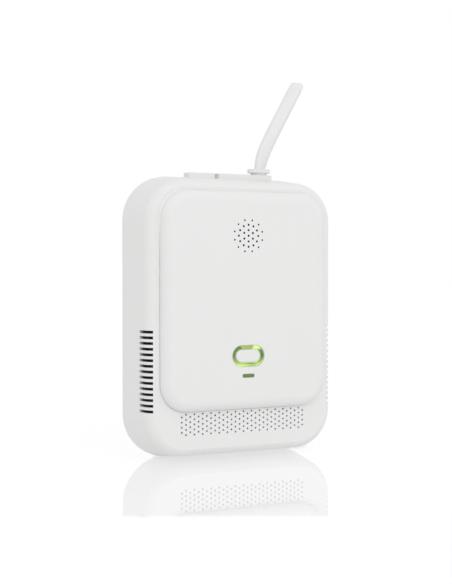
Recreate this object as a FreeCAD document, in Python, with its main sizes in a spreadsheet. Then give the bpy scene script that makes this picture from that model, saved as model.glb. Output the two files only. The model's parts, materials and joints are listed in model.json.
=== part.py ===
import FreeCAD, Part

import math
import os
import re

import Sketcher
from FreeCAD import Placement, Rotation, Vector

# Mains-powered carbon monoxide alarm that stands on its lower edge or hangs on a wall bracket.
# Millimetres and degrees.  X runs to the right seen from the front, Y from the front to the
# back and Z up.  The origin is the middle of the bottom of the box round the alarm.

SIZES = {
    # case
    "width": 97.2,
    "height": 126.2,
    "corner_r": 20.0,
    "flank_flare": 5.5,
    "flank_draft": 8.0,
    "crease_angle": 65.0,
    "front_depth": 19.8,
    "cover_depth": 8.0,
    "cover_edge_r": 5.0,
    "wall": 2.2,
    "lip_gap": 0.15,
    "lip_thick": 1.2,
    "lip_reach": 2.5,
    # raised front plate
    "rim_side": 2.3,
    "rim_top": 1.3,
    "chin": 16.6,
    "plate_corner_r": 12.5,
    "plate_rise": 4.7,
    "plate_edge_r": 4.9,
    "plate_wall": 2.0,
    "plate_rim": 2.4,
    "plate_seat": 0.5,
    "plate_gap": 0.12,
    "peg_play": 0.15,
    "peg_r": 1.5,
    "peg_inset": 9.0,
    "peg_reach": 2.0,
    "glue_gap": 0.05,
    # sounder holes in the front plate, a hole in the middle and three rings round it
    "sound_drop": 26.9,
    "sound_hole_r": 0.5,
    "sound_rim_hole_r": 0.42,
    "sound_ring_a": 2.49,
    "sound_ring_b": 4.85,
    "sound_ring_c": 7.10,
    "sound_margin": 1.4,
    "mesh_thick": 0.3,
    # test button and its light ring
    "button_height": 46.1,
    "ring_w": 16.1,
    "ring_h": 9.7,
    "ring_band": 1.85,
    "ring_facet": 0.6,
    "ring_sink": 0.1,
    "ring_flange": 1.4,
    "ring_flange_thick": 1.2,
    "button_gap": 0.15,
    "button_travel": 0.8,
    "button_edge_r": 0.5,
    "flange_reach": 0.9,
    "flange_thick": 1.2,
    "stop_gap": 0.1,
    "push_gap": 0.05,
    "duct_gap": 0.4,
    # status lens
    "lens_w": 5.9,
    "lens_h": 1.6,
    "lens_corner_r": 0.6,
    "lens_drop": 8.8,
    "lens_flange": 1.0,
    # air holes of the chin
    "air_pitch_x": 4.05,
    "air_pitch_z": 2.23,
    "air_hole_r": 0.45,
    "air_drop": 1.1,
    "air_wall": 1.0,
    "air_margin": 0.7,
    # side slots
    "slot_pitch": 2.46,
    "slot_width": 1.25,
    "slot_run": 7.8,
    "slot_inset": 0.4,
    "slot_depth": 6.6,
    "slot_top": 57.4,
    # circuit board and its fixings
    "board_standoff": 7.4,
    "board_thick": 1.6,
    "board_margin_x": 15.8,
    "board_margin_low": 12.0,
    "board_margin_top": 14.0,
    "board_corner_r": 3.0,
    "standoff_r": 2.6,
    "standoff_inset": 5.0,
    "standoff_lift": 16.0,
    "small_screw_r": 1.1,
    "small_head_r": 2.0,
    "small_head_thick": 1.2,
    "small_screw_length": 5.0,
    "thread_fit": 0.02,
    "screw_play": 0.2,
    # case screws
    "post_inset_x": 10.3,
    "post_inset_z": 13.0,
    "boss_r": 3.5,
    "post_r": 4.2,
    "post_length": 6.8,
    "post_floor": 4.0,
    "case_screw_r": 1.5,
    "case_head_r": 2.8,
    "case_head_thick": 2.0,
    "case_screw_length": 14.0,
    "pilot_spare": 1.0,
    # sounder
    "chamber_r": 16.0,
    "chamber_wall": 1.5,
    "chamber_port_r": 4.0,
    "chamber_ledge": 2.0,
    "gasket_thick": 0.8,
    "gasket_r": 14.5,
    "disc_thick": 0.5,
    "disc_gap": 0.2,
    # electronics
    "switch_side": 6.0,
    "switch_tall": 3.5,
    "plunger_r": 1.6,
    "plunger_out": 1.1,
    "plunger_in": 1.1,
    "plunger_fit": 0.05,
    "lamp_w": 3.0,
    "lamp_h": 2.0,
    "lamp_tall": 1.9,
    "lamp_offset": 6.2,
    "lamp_gap": 0.4,
    "shroud_gap": 1.0,
    "shroud_wall": 1.5,
    "sensor_r": 4.8,
    "sensor_tall": 5.6,
    "sensor_inset": 17.0,
    "sensor_lift": 10.0,
    "filter_r": 3.4,
    "filter_thick": 0.6,
    "chip_side": 10.0,
    "chip_tall": 1.4,
    "chip_inset": 15.0,
    "crystal_w": 11.0,
    "crystal_h": 4.6,
    "crystal_tall": 3.5,
    "passive_w": 2.0,
    "passive_h": 1.2,
    "passive_tall": 0.6,
    "passive_pitch": 4.0,
    "module_w": 34.0,
    "module_h": 22.0,
    "module_tall": 12.0,
    "module_edge_r": 1.0,
    "module_inset": 3.0,
    "can_r": 5.0,
    "can_tall": 12.0,
    "can_inset": 7.0,
    "can_pitch": 13.0,
    "can_drop": 9.0,
    "varistor_r": 4.5,
    "varistor_thick": 3.5,
    "varistor_gap": 9.0,
    "pin_r": 0.4,
    "pin_stand": 1.0,
    "fuse_r": 2.5,
    "fuse_length": 20.0,
    "fuse_inset": 10.5,
    "fuse_gap": 4.0,
    "clip_w": 6.4,
    "clip_length": 5.0,
    "clip_base": 1.2,
    "terminal_w": 13.0,
    "terminal_h": 10.0,
    "terminal_tall": 10.0,
    "terminal_pitch": 5.0,
    "terminal_screw_r": 1.8,
    "terminal_screw_sink": 3.0,
    # cord and its outlet on top of the rear cover
    "ledge_rise": 2.4,
    "ledge_setback": 0.6,
    "ledge_depth": 5.8,
    "ledge_left": -17.4,
    "ledge_slit": 2.2,
    "latch_left": -9.0,
    "latch_right": 5.0,
    "latch_peep": 4.6,
    "outlet_inset": 28.5,
    "outlet_side": 5.4,
    "outlet_back": 3.4,
    "cord_w": 6.2,
    "cord_thick": 3.4,
    "grip_gap": 0.02,
    "gland_wall": 0.8,
    "gland_flange_w": 11.0,
    "gland_flange_d": 7.4,
    "gland_flange_thick": 1.7,
    "gland_lift": 1.1,
    "gland_foot_reach": 1.1,
    "gland_foot_thick": 1.5,
    "gland_foot_gap": 0.1,
    "tail_length": 20.9,
    "wire_r": 0.9,
    "wire_entry": 2.0,
    "wire_end_gap": 0.1,
    "lead_drop": 6.0,
    "lead_bend": 1.6,
    "clamp_w": 19.0,
    "clamp_h": 6.0,
    "clamp_thick": 2.2,
    "clamp_drop": 10.2,
    "clamp_pitch": 14.0,
    "clamp_boss_r": 2.4,
    # wall bracket
    "bracket_gap": 0.1,
    "bracket_thick": 2.0,
    "bracket_w": 66.0,
    "bracket_low": 30.0,
    "bracket_h": 70.0,
    "bracket_corner_r": 5.0,
    "bracket_screw_r": 2.25,
    "bracket_screw_pitch": 50.0,
    "bracket_screw_lift": 32.0,
    "latch_rise": 0.6,
    "latch_slit": 1.6,
    "latch_slit_length": 20.0,
    "hook_pitch_x": 44.0,
    "hook_pitch_z": 44.0,
    "hook_lift": 10.0,
    "hook_neck_w": 4.0,
    "hook_neck_h": 3.0,
    "hook_head_w": 8.8,
    "hook_head_h": 4.4,
    "hook_head_thick": 1.4,
    "hook_gap": 0.2,
    "hook_play": 0.3,
    "hook_travel": 8.0,
    # plug
    "plug_w": 35.0,
    "plug_tall": 13.8,
    "plug_length": 36.0,
    "plug_neck_w": 11.0,
    "plug_neck_tall": 9.4,
    "plug_edge_r": 0.8,
    "plug_x": 73.6,
    "plug_y": 65.9,
    "plug_pin_r": 2.0,
    "plug_pin_length": 19.0,
    "plug_pin_pitch": 18.6,
    "plug_pin_core_r": 1.5,
    "sleeve_length": 10.0,
    "relief_length": 12.0,
    "relief_r": 3.9,
    # coil of the cord on the floor
    "coil_x": 19.0,
    "coil_y": 58.5,
    "coil_r": 29.0,
    "coil_band": 10.7,
    "coil_layers": 2.0,
}

# Places and lengths worked out from the sizes.  Names that end in _y are places from front to
# back, names that end in _z are places in height.
DERIVED = {
    "half_w": "width / 2",
    "outlet_x": "half_w - outlet_inset",
    "face_y": "-(plate_rise + front_depth + cover_depth + bracket_gap + bracket_thick) / 2",
    "front_y": "face_y + plate_rise",
    "inner_y": "front_y + wall",
    "parting_y": "front_y + front_depth",
    "back_y": "parting_y + cover_depth",
    "cover_in_y": "back_y - wall",
    "flank_slope": "tan(flank_draft)",
    "flank_r": "(flank_flare - front_depth * flank_slope) / (cos(flank_draft) - cos(crease_angle)"
               " - flank_slope * (sin(crease_angle) - sin(flank_draft)))",
    "cap_y": "front_y + flank_r * sin(crease_angle) - flank_r",
    "crease_half": "half_w - flank_flare",
    "plate_half": "crease_half - rim_side",
    "plate_low_z": "flank_flare + chin",
    "plate_high_z": "height - flank_flare - rim_top",
    "seat_y": "front_y + plate_seat",
    "plate_in_y": "face_y + plate_wall",
    "sound_z": "height - sound_drop",
    "sound_port_r": "sound_ring_c + sound_margin",
    "ring_front_y": "face_y + ring_sink",
    "board_y": "inner_y + board_standoff",
    "board_back_y": "board_y + board_thick",
    "board_half": "half_w - board_margin_x",
    "sensor_x": "board_half - sensor_inset",
    "chip_x": "board_half - chip_inset",
    "module_left": "-(board_half - module_inset)",
    "can_x": "board_half - can_inset",
    "can_z": "sound_z - module_h - can_drop",
    "fuse_high_z": "can_z - can_r - fuse_gap",
    "board_high_z": "height - board_margin_top",
    "tip_y": "board_y - switch_tall - plunger_out",
    "flange_y": "tip_y - push_gap - flange_thick",
    "ring_back_y": "flange_y - stop_gap",
    "lens_z": "button_height - lens_drop",
    "lens_back_y": "board_y - lamp_tall - lamp_gap",
    "air_top_z": "plate_low_z - air_drop",
    "air_low_z": "air_top_z - 4 * air_pitch_z",
    "air_half": "air_pitch_x * 7.5 + air_hole_r + air_margin",
    "standoff_x": "board_half - standoff_inset",
    "standoff_low_z": "board_margin_low + standoff_lift",
    "standoff_high_z": "board_high_z - standoff_inset",
    "post_x": "half_w - post_inset_x",
    "post_high_z": "height - post_inset_z",
    "post_y": "cover_in_y - post_length",
    "head_y": "post_y + post_floor",
    "ledge_z": "height + ledge_rise",
    "ledge_y": "parting_y + ledge_setback",
    "outlet_y": "parting_y + outlet_back",
    "gland_low_z": "ledge_z + gland_lift",
    "gland_top_z": "gland_low_z + gland_flange_thick",
    "gland_foot_z": "height - wall - gland_foot_gap - gland_foot_thick",
    "tail_low_z": "gland_top_z - tail_length",
    "clamp_z": "height - clamp_drop",
    "clamp_y": "outlet_y - cord_thick / 2",
    "terminal_z": "tail_low_z - lead_drop - terminal_h",
    "bracket_y": "back_y + bracket_gap",
    "bracket_back_y": "bracket_y + bracket_thick",
    "bracket_high_z": "bracket_low + bracket_h",
    "bracket_screw_z": "bracket_low + bracket_screw_lift",
    "latch_top_z": "ledge_z + latch_rise",
    "slit_left": "latch_left + latch_peep",
    "hook_low_z": "bracket_low + hook_lift",
    "hook_high_z": "hook_low_z + hook_pitch_z",
    "hook_head_y": "cover_in_y - hook_gap - hook_head_thick",
    "plug_z": "plug_tall / 2",
    "plug_face_y": "plug_y + relief_length + plug_length",
    "coil_low_r": "coil_r - coil_band / 2",
    "coil_high_r": "coil_r + coil_band / 2",
    "coil_tall": "coil_layers * cord_w",
}

# The free cord's route by hand: after the gland it goes over the back of the alarm and down
# to the coil, and from the coil it goes to the plug.
CORD_ROUTE = [
    (21.9, 10.6, 138.2),
    (26.6, 10.6, 147.3),
    (35.2, 10.6, 162.6),
    (46.0, 20.1, 173.8),
    (55.8, 35.4, 176.6),
    (60.1, 51.6, 170.0),
    (58.2, 63.1, 156.3),
    (52.6, 67.3, 141.3),
    (48.6, 65.3, 124.6),
    (47.3, 58.4, 107.2),
    (48.3, 49.4, 89.9),
    (49.8, 39.8, 73.7),
    (50.8, 30.0, 58.6),
    (51.2, 22.7, 43.9),
    (51.2, 22.5, 28.3),
    (51.2, 30.1, 16.0),
    (51.4, 43.3, 9.3),
    (51.6, 58.5, 9.3),
]
PLUG_ROUTE = [
    (19.0, 26.1, 3.1),
    (34.4, 25.9, 3.1),
    (49.8, 26.5, 3.1),
    (64.6, 34.5, 5.2),
    (73.6, 49.0, 6.9),
]

WORD = re.compile(r"[a-z][a-z_]*[a-z]")
doc = FreeCAD.newDocument("co_alarm")
nodes = {}


def make_sheet():
    """Writes each size and its name on the sheet that drives the model."""
    sheet = doc.addObject("Spreadsheet::Sheet", "dims")
    for row, (name, value) in enumerate(SIZES.items(), start=1):
        sheet.set(f"A{row}", name)
        sheet.set(f"B{row}", str(value))
        sheet.setAlias(f"B{row}", name)
    doc.recompute()
    return sheet


def expand(text):
    """Turns the names in an expression into references to the sheet."""
    def swap(match):
        word = match.group(0)
        if word in SIZES:
            return "dims." + word
        if word in DERIVED:
            return "(" + expand(DERIVED[word]) + ")"
        return word
    return WORD.sub(swap, text)


def val(text):
    """The present value of an expression."""
    return float(dims.evalExpression(expand(text)))


def bind(item, **expressions):
    for name, text in expressions.items():
        item.setExpression(name.replace("__", "."), expand(text))


def keep(label, item):
    """Names an object as a sub-part of the model."""
    item.Label = label
    nodes[label] = item
    return item


# ---- sketches and features -------------------------------------------------------------

def new_body(name):
    return doc.addObject("PartDesign::Body", name)


def plane_of(body, role):
    return next(item for item in body.Origin.OriginFeatures if item.Role == role)


def sketch_front(body, name, y, x="0", z="0"):
    """A sketch that faces the front, with its own origin at x, y, z."""
    sketch = body.newObject("Sketcher::SketchObject", name)
    sketch.AttachmentSupport = (plane_of(body, "XZ_Plane"), [""])
    sketch.MapMode = "FlatFace"
    bind(sketch, AttachmentOffset__Base__x=x, AttachmentOffset__Base__y=z, AttachmentOffset__Base__z=f"-({y})")
    return sketch


def sketch_floor(body, name, z):
    """A sketch that lies level at height z."""
    sketch = body.newObject("Sketcher::SketchObject", name)
    sketch.AttachmentSupport = (plane_of(body, "XY_Plane"), [""])
    sketch.MapMode = "FlatFace"
    bind(sketch, AttachmentOffset__Base__z=z)
    return sketch


def sketch_side(body, name, x):
    """A sketch that faces the right-hand side at x."""
    sketch = body.newObject("Sketcher::SketchObject", name)
    sketch.AttachmentSupport = (plane_of(body, "YZ_Plane"), [""])
    sketch.MapMode = "FlatFace"
    bind(sketch, AttachmentOffset__Base__z=x)
    return sketch


def rule(sketch, kind, *where, value=None):
    """Adds a constraint, driven by an expression when it has a value."""
    if value is None:
        return sketch.addConstraint(Sketcher.Constraint(kind, *where))
    index = sketch.addConstraint(Sketcher.Constraint(kind, *where, val(value)))
    sketch.setExpression(f"Constraints[{index}]", expand(value))
    return index


def add_circle(sketch, radius, x="0", y="0"):
    circle = sketch.addGeometry(Part.Circle(Vector(val(x), val(y), 0), Vector(0, 0, 1), val(radius)))
    rule(sketch, "Radius", circle, value=radius)
    rule(sketch, "DistanceX", circle, 3, value=x)
    rule(sketch, "DistanceY", circle, 3, value=y)


def add_line(sketch, start, end):
    return sketch.addGeometry(Part.LineSegment(Vector(*start, 0), Vector(*end, 0)))


def add_arc(sketch, centre, radius, start, end):
    circle = Part.Circle(Vector(*centre, 0), Vector(0, 0, 1), radius)
    return sketch.addGeometry(Part.ArcOfCircle(circle, math.radians(start), math.radians(end)))


def add_polygon(sketch, places):
    """A closed outline through the given pairs of expressions."""
    corners = [(val(x), val(y)) for x, y in places]
    lines = [add_line(sketch, corners[i - 1], corners[i]) for i in range(len(corners))]
    for i, (x, y) in enumerate(places):
        rule(sketch, "Coincident", lines[i - 1], 2, lines[i], 1)
        rule(sketch, "DistanceX", lines[i], 2, value=x)
        rule(sketch, "DistanceY", lines[i], 2, value=y)


def add_rectangle(sketch, left, right, low, high):
    x0, x1, y0, y1 = (val(text) for text in (left, right, low, high))
    corners = [(x0, y0), (x1, y0), (x1, y1), (x0, y1)]
    lines = [add_line(sketch, corners[i], corners[(i + 1) % 4]) for i in range(4)]
    for i in range(4):
        rule(sketch, "Coincident", lines[i], 2, lines[(i + 1) % 4], 1)
        rule(sketch, ("Horizontal", "Vertical")[i % 2], lines[i])
    rule(sketch, "DistanceX", lines[0], 1, value=left)
    rule(sketch, "DistanceY", lines[0], 1, value=low)
    rule(sketch, "DistanceX", lines[1], 2, value=right)
    rule(sketch, "DistanceY", lines[1], 2, value=high)


def add_rounded(sketch, left, right, low, high, radius):
    """A rectangle with rounded corners."""
    x0, x1, y0, y1, r = (val(text) for text in (left, right, low, high, radius))
    lines = [
        add_line(sketch, (x0 + r, y0), (x1 - r, y0)),
        add_line(sketch, (x1, y0 + r), (x1, y1 - r)),
        add_line(sketch, (x1 - r, y1), (x0 + r, y1)),
        add_line(sketch, (x0, y1 - r), (x0, y0 + r)),
    ]
    arcs = [
        add_arc(sketch, (x1 - r, y0 + r), r, -90, 0),
        add_arc(sketch, (x1 - r, y1 - r), r, 0, 90),
        add_arc(sketch, (x0 + r, y1 - r), r, 90, 180),
        add_arc(sketch, (x0 + r, y0 + r), r, 180, 270),
    ]
    for i in range(4):
        rule(sketch, "Tangent", lines[i], 2, arcs[i], 1)
        rule(sketch, "Tangent", arcs[i], 2, lines[(i + 1) % 4], 1)
        rule(sketch, ("Horizontal", "Vertical")[i % 2], lines[i])
    for i in range(1, 4):
        rule(sketch, "Equal", arcs[0], arcs[i])
    rule(sketch, "Radius", arcs[0], value=radius)
    rule(sketch, "DistanceX", lines[3], 1, value=left)
    rule(sketch, "DistanceX", lines[1], 1, value=right)
    rule(sketch, "DistanceY", lines[0], 1, value=low)
    rule(sketch, "DistanceY", lines[2], 1, value=high)


def add_stadium(sketch, width, height, x="0", y="0"):
    """A level slot with round ends, width by height over all, centred on x, y."""
    w, r, cx, cy = val(width) / 2, val(height) / 2, val(x), val(y)
    right = add_arc(sketch, (cx + w - r, cy), r, -90, 90)
    left = add_arc(sketch, (cx - w + r, cy), r, 90, 270)
    top = add_line(sketch, (cx + w - r, cy + r), (cx - w + r, cy + r))
    low = add_line(sketch, (cx - w + r, cy - r), (cx + w - r, cy - r))
    rule(sketch, "Tangent", right, 2, top, 1)
    rule(sketch, "Tangent", top, 2, left, 1)
    rule(sketch, "Tangent", left, 2, low, 1)
    rule(sketch, "Tangent", low, 2, right, 1)
    rule(sketch, "Horizontal", top)
    rule(sketch, "Radius", right, value=f"({height}) / 2")
    rule(sketch, "DistanceX", right, 3, value=f"{x} + (({width}) - ({height})) / 2")
    rule(sketch, "DistanceX", left, 3, value=f"{x} - (({width}) - ({height})) / 2")
    rule(sketch, "DistanceY", right, 3, value=y)


def pad(body, sketch, length, ahead=False):
    """Adds material from a sketch, towards its back side unless ahead is set."""
    feature = body.newObject("PartDesign::Pad", sketch.Name + "_pad")
    feature.Profile = sketch
    feature.Reversed = not ahead
    bind(feature, Length=length)
    sketch.Visibility = False
    doc.recompute()
    return feature


def cut(body, sketch, length, ahead=False):
    """Removes material from a sketch, towards its back side unless ahead is set."""
    before = body.Shape.Volume
    feature = body.newObject("PartDesign::Pocket", sketch.Name + "_cut")
    feature.Profile = sketch
    feature.Reversed = ahead
    bind(feature, Length=length)
    doc.recompute()
    if not body.Shape.Volume < before:
        raise RuntimeError(f"{feature.Name} removes nothing")
    return feature


def edges_where(shape, test):
    return [f"Edge{i}" for i, edge in enumerate(shape.Edges, start=1) if test(edge)]


def level_with(text, axis="y"):
    """A test for edges that lie whole in the plane at the given place along an axis."""
    place = val(text)
    low, high = axis.upper() + "Min", axis.upper() + "Max"

    def test(edge):
        box = edge.BoundBox
        return abs(getattr(box, low) - place) < 1e-4 and abs(getattr(box, high) - place) < 1e-4
    return test


def dress(body, kind, test, **sizes):
    """A fillet or a chamfer on the edges of the body's tip that pass the test."""
    base = body.Tip
    feature = body.newObject("PartDesign::" + kind, f"{body.Name}_{kind.lower()}_{len(body.Group)}")
    feature.Base = (base, edges_where(base.Shape, test))
    bind(feature, **sizes)
    doc.recompute()
    return feature


def hollow(body, cavity):
    """Cuts the shape of another body out of this one."""
    feature = body.newObject("PartDesign::Boolean", body.Name + "_shell")
    feature.Type = "Cut"
    feature.addObjects([cavity])
    doc.recompute()
    return feature


def repeat_down(body, feature, length, count):
    """Repeats a feature downwards over a length."""
    pattern = body.newObject("PartDesign::LinearPattern", feature.Name + "_row")
    pattern.Originals = [feature]
    pattern.Direction = (feature.Profile[0], ["V_Axis"])
    pattern.Reversed = True
    pattern.Occurrences = count
    bind(pattern, Length=length)
    body.Tip = pattern
    doc.recompute()
    return pattern


def repeat_round(body, feature, count):
    """Repeats a feature round the origin of its own sketch."""
    pattern = body.newObject("PartDesign::PolarPattern", feature.Name + "_ring")
    pattern.Originals = [feature]
    pattern.Axis = (feature.Profile[0], ["N_Axis"])
    pattern.Angle = 360
    pattern.Occurrences = count
    body.Tip = pattern
    doc.recompute()
    return pattern


# ---- primitives ------------------------------------------------------------------------

def block(name, x, y, z):
    """A box between pairs of expressions along each axis."""
    item = doc.addObject("Part::Box", name)
    for size, axis, (low, high) in zip(("Length", "Width", "Height"), "xyz", (x, y, z)):
        bind(item, **{size: f"({high}) - ({low})", f"Placement__Base__{axis}": low})
    return item


def rod(name, axis, radius, x, y, z):
    """A round bar along an axis, whose place on that axis is a pair of expressions."""
    item = doc.addObject("Part::Cylinder", name)
    turn = {"x": Rotation(Vector(0, 1, 0), 90), "y": Rotation(Vector(1, 0, 0), -90), "z": Rotation()}[axis]
    item.Placement = Placement(Vector(), turn)
    places = {"x": x, "y": y, "z": z}
    low, high = places[axis]
    places[axis] = low
    bind(item, Radius=radius, Height=f"({high}) - ({low})")
    bind(item, **{f"Placement__Base__{key}": text for key, text in places.items()})
    return item


def join(name, items):
    item = doc.addObject("Part::MultiFuse", name)
    item.Shapes = items
    item.Refine = True
    return item


def carve(name, base, tool):
    item = doc.addObject("Part::Cut", name)
    item.Base = base
    item.Tool = tool
    return item


def group(name, items):
    """Separate like solids that share one sub-part."""
    item = doc.addObject("Part::Compound", name)
    item.Links = items
    return item


# ---- case ------------------------------------------------------------------------------

def post_places():
    return [(x, z) for x in ("-post_x", "post_x") for z in ("post_inset_z", "post_high_z")]


def standoff_places():
    return [(x, z) for x in ("-standoff_x", "standoff_x") for z in ("standoff_low_z", "standoff_high_z")]


def peg_places():
    return [(x, z) for x in ("-(plate_half - peg_inset)", "plate_half - peg_inset")
            for z in ("plate_low_z + 2 * peg_inset", "plate_high_z - peg_inset")]


def case_outline(body, name, y, inset="0"):
    sketch = sketch_front(body, name, y)
    add_rounded(sketch, f"-half_w + {inset}", f"half_w - ({inset})", inset, f"height - ({inset})",
                f"corner_r - ({inset})")
    return sketch


def case_form(name, inset, near_y, far_y, round_y, radius):
    """A block with the case's outline, rounded along its front or back edge."""
    body = new_body(name)
    pad(body, case_outline(body, name + "_outline", near_y, inset), f"{far_y} - ({near_y})")
    dress(body, "Fillet", level_with(round_y), Radius=radius)
    return body


def flared_form(name, inset):
    """A block on the case's outline whose sides lean inwards to a round front edge."""
    body = new_body(name)
    form = pad(body, case_outline(body, name + "_outline", "parting_y", inset),
               f"parting_y - cap_y - {inset}", ahead=True)
    bind(form, TaperAngle="-flank_draft")
    doc.recompute()
    dress(body, "Fillet", level_with(f"cap_y + {inset}"), Radius=f"flank_r - {inset}")
    return body


def front_housing():
    """The front shell: flared flanks that meet the flat front in a crease."""
    body = flared_form("front_housing", "0")
    hollow(body, flared_form("front_cavity", "wall"))
    facing = sketch_front(body, "case_facing", "front_y")
    add_rectangle(facing, "-half_w - 1", "half_w + 1", "-1", "height + 1")
    cut(body, facing, "front_y - cap_y + 1", ahead=True)
    pad(body, case_outline(body, "front_wall", "front_y", "flank_flare"), "wall")
    case_bosses(body)
    plate_recess(body)
    front_openings(body)
    air_holes(body)
    side_slots(body)
    keep("front_housing", body)


def case_bosses(body):
    """Bosses for the case screws and standoffs for the circuit board, with their pilot holes."""
    bosses = sketch_front(body, "case_bosses", "inner_y")
    for x, z in post_places():
        add_circle(bosses, "boss_r", x, z)
    pad(body, bosses, "post_y - inner_y")
    standoffs = sketch_front(body, "board_standoffs", "inner_y")
    for x, z in standoff_places():
        add_circle(standoffs, "standoff_r", x, z)
    pad(body, standoffs, "board_standoff")
    pilots = sketch_front(body, "case_pilots", "post_y")
    for x, z in post_places():
        add_circle(pilots, "case_screw_r + thread_fit", x, z)
    cut(body, pilots, "case_screw_length - post_floor + pilot_spare", ahead=True)
    small = sketch_front(body, "board_pilots", "board_y")
    for x, z in standoff_places():
        add_circle(small, "small_screw_r + thread_fit", x, z)
    cut(body, small, "small_screw_length", ahead=True)


def plate_recess(body):
    """The shallow seat of the front plate and the holes that its pegs pass through."""
    seat = sketch_front(body, "plate_seat_outline", "front_y")
    add_rounded(seat, "-plate_half - plate_gap", "plate_half + plate_gap", "plate_low_z - plate_gap",
                "plate_high_z + plate_gap", "plate_corner_r + plate_gap")
    cut(body, seat, "plate_seat")
    pegs = sketch_front(body, "peg_holes", "front_y")
    for x, z in peg_places():
        add_circle(pegs, "peg_r + peg_play", x, z)
    cut(body, pegs, "wall + 1")


def front_openings(body):
    """Openings behind the plate for the sound, the test button's ring and the status lens."""
    port = sketch_front(body, "sound_port", "front_y", z="sound_z")
    add_circle(port, "sound_port_r")
    cut(body, port, "wall + 1")
    ring = sketch_front(body, "ring_duct", "front_y", z="button_height")
    add_stadium(ring, "ring_w + 2 * duct_gap", "ring_h + 2 * duct_gap")
    cut(body, ring, "wall + 1")
    lens = sketch_front(body, "lens_duct", "front_y", z="lens_z")
    add_rounded(lens, "-lens_w / 2 - duct_gap", "lens_w / 2 + duct_gap", "-lens_h / 2 - duct_gap",
                "lens_h / 2 + duct_gap", "lens_corner_r + duct_gap")
    cut(body, lens, "wall + 1")


def air_holes(body):
    """Rows of 15 and 16 small holes in the chin, in a stretch of wall thinned from inside."""
    thin = sketch_front(body, "air_recess", "inner_y")
    add_rectangle(thin, "-air_half", "air_half", "air_low_z - air_hole_r - air_margin",
                  "air_top_z + air_hole_r + air_margin / 3")
    cut(body, thin, "wall - air_wall", ahead=True)
    for name, count, drop, rows in (("air_row_a", 15, "0", 5), ("air_row_b", 16, "air_pitch_z / 2", 4)):
        row = sketch_front(body, name, "front_y", z=f"air_top_z - {drop}")
        for i in range(count):
            add_circle(row, "air_hole_r", f"air_pitch_x * ({i - (count - 1) / 2})")
        holes = cut(body, row, "wall")
        repeat_down(body, holes, f"air_pitch_z * {rows - 1}", rows)


def side_slots(body):
    """Fifteen cooling and gas slots in each flank, just behind the crease."""
    for name, side, inward in (("slot_left", "-1", True), ("slot_right", "1", False)):
        sketch = sketch_side(body, name, f"{side} * half_w")
        add_rectangle(sketch, "front_y + slot_inset", "front_y + slot_inset + slot_run",
                      "slot_top - slot_width / 2", "slot_top + slot_width / 2")
        slot = cut(body, sketch, "slot_depth", ahead=inward)
        repeat_down(body, slot, "slot_pitch * 14", 15)


def front_plate():
    """The raised front plate: a shallow tray with rounded edges that stands on the housing."""
    body = new_body("front_plate")
    outline = sketch_front(body, "plate_outline", "face_y")
    add_rounded(outline, "-plate_half", "plate_half", "plate_low_z", "plate_high_z", "plate_corner_r")
    pad(body, outline, "plate_rise + plate_seat")
    dress(body, "Fillet", level_with("face_y"), Radius="plate_edge_r")
    tray = sketch_front(body, "plate_tray", "seat_y")
    add_rounded(tray, "-plate_half + plate_rim", "plate_half - plate_rim", "plate_low_z + plate_rim",
                "plate_high_z - plate_rim", "plate_corner_r - plate_rim")
    cut(body, tray, "plate_rise + plate_seat - plate_wall", ahead=True)
    pegs = sketch_front(body, "plate_pegs", "plate_in_y")
    for x, z in peg_places():
        add_circle(pegs, "peg_r", x, z)
    pad(body, pegs, "inner_y - plate_in_y + peg_reach")
    ring = sketch_front(body, "plate_ring_hole", "face_y", z="button_height")
    add_stadium(ring, "ring_w + 2 * glue_gap", "ring_h + 2 * glue_gap")
    cut(body, ring, "plate_wall + 1")
    lens = sketch_front(body, "plate_lens_hole", "face_y", z="lens_z")
    add_rounded(lens, "-lens_w / 2 - glue_gap", "lens_w / 2 + glue_gap", "-lens_h / 2 - glue_gap",
                "lens_h / 2 + glue_gap", "lens_corner_r + glue_gap")
    cut(body, lens, "plate_wall + 1")
    sound_holes(body)
    keep("front_plate", body)


def sound_holes(body):
    """One hole in the middle and rings of 6, 12 and 12 round it."""
    middle = sketch_front(body, "sound_middle", "face_y", z="sound_z")
    add_circle(middle, "sound_hole_r")
    cut(body, middle, "plate_wall + 1")
    rings = (("a", "sound_hole_r", 6, 30), ("b", "sound_hole_r", 12, 0), ("c", "sound_rim_hole_r", 12, 15))
    for name, radius, count, angle in rings:
        sketch = sketch_front(body, "sound_" + name, "face_y", z="sound_z")
        add_circle(sketch, radius, f"sound_ring_{name} * cos({angle})", f"sound_ring_{name} * sin({angle})")
        repeat_round(body, cut(body, sketch, "plate_wall + 1"), count)


def rear_cover():
    """The rear shell with its lip, screw posts, cord outlet ledge and bracket slots."""
    body = case_form("rear_cover", "0", "parting_y", "back_y", "back_y", "cover_edge_r")
    hollow(body, case_form("cover_cavity", "wall", "parting_y - 1", "cover_in_y", "cover_in_y",
                           "cover_edge_r - wall"))
    cover_lip(body)
    cover_posts(body)
    cover_ledges(body)
    bracket_slots(body)
    keep("rear_cover", body)


def cover_lip(body):
    """A thin wall that goes inside the front housing and lines the two shells up."""
    outer = "wall + lip_gap + lip_reach * flank_slope"
    inner = f"{outer} + lip_thick"
    root = case_outline(body, "lip_root", "parting_y", "wall / 2")
    add_rounded(root, f"-half_w + {inner}", f"half_w - ({inner})", inner, f"height - ({inner})",
                f"corner_r - ({inner})")
    pad(body, root, "lip_thick")
    lip = case_outline(body, "lip_outline", "parting_y", outer)
    add_rounded(lip, f"-half_w + {inner}", f"half_w - ({inner})", inner, f"height - ({inner})",
                f"corner_r - ({inner})")
    pad(body, lip, "lip_reach", ahead=True)


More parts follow.
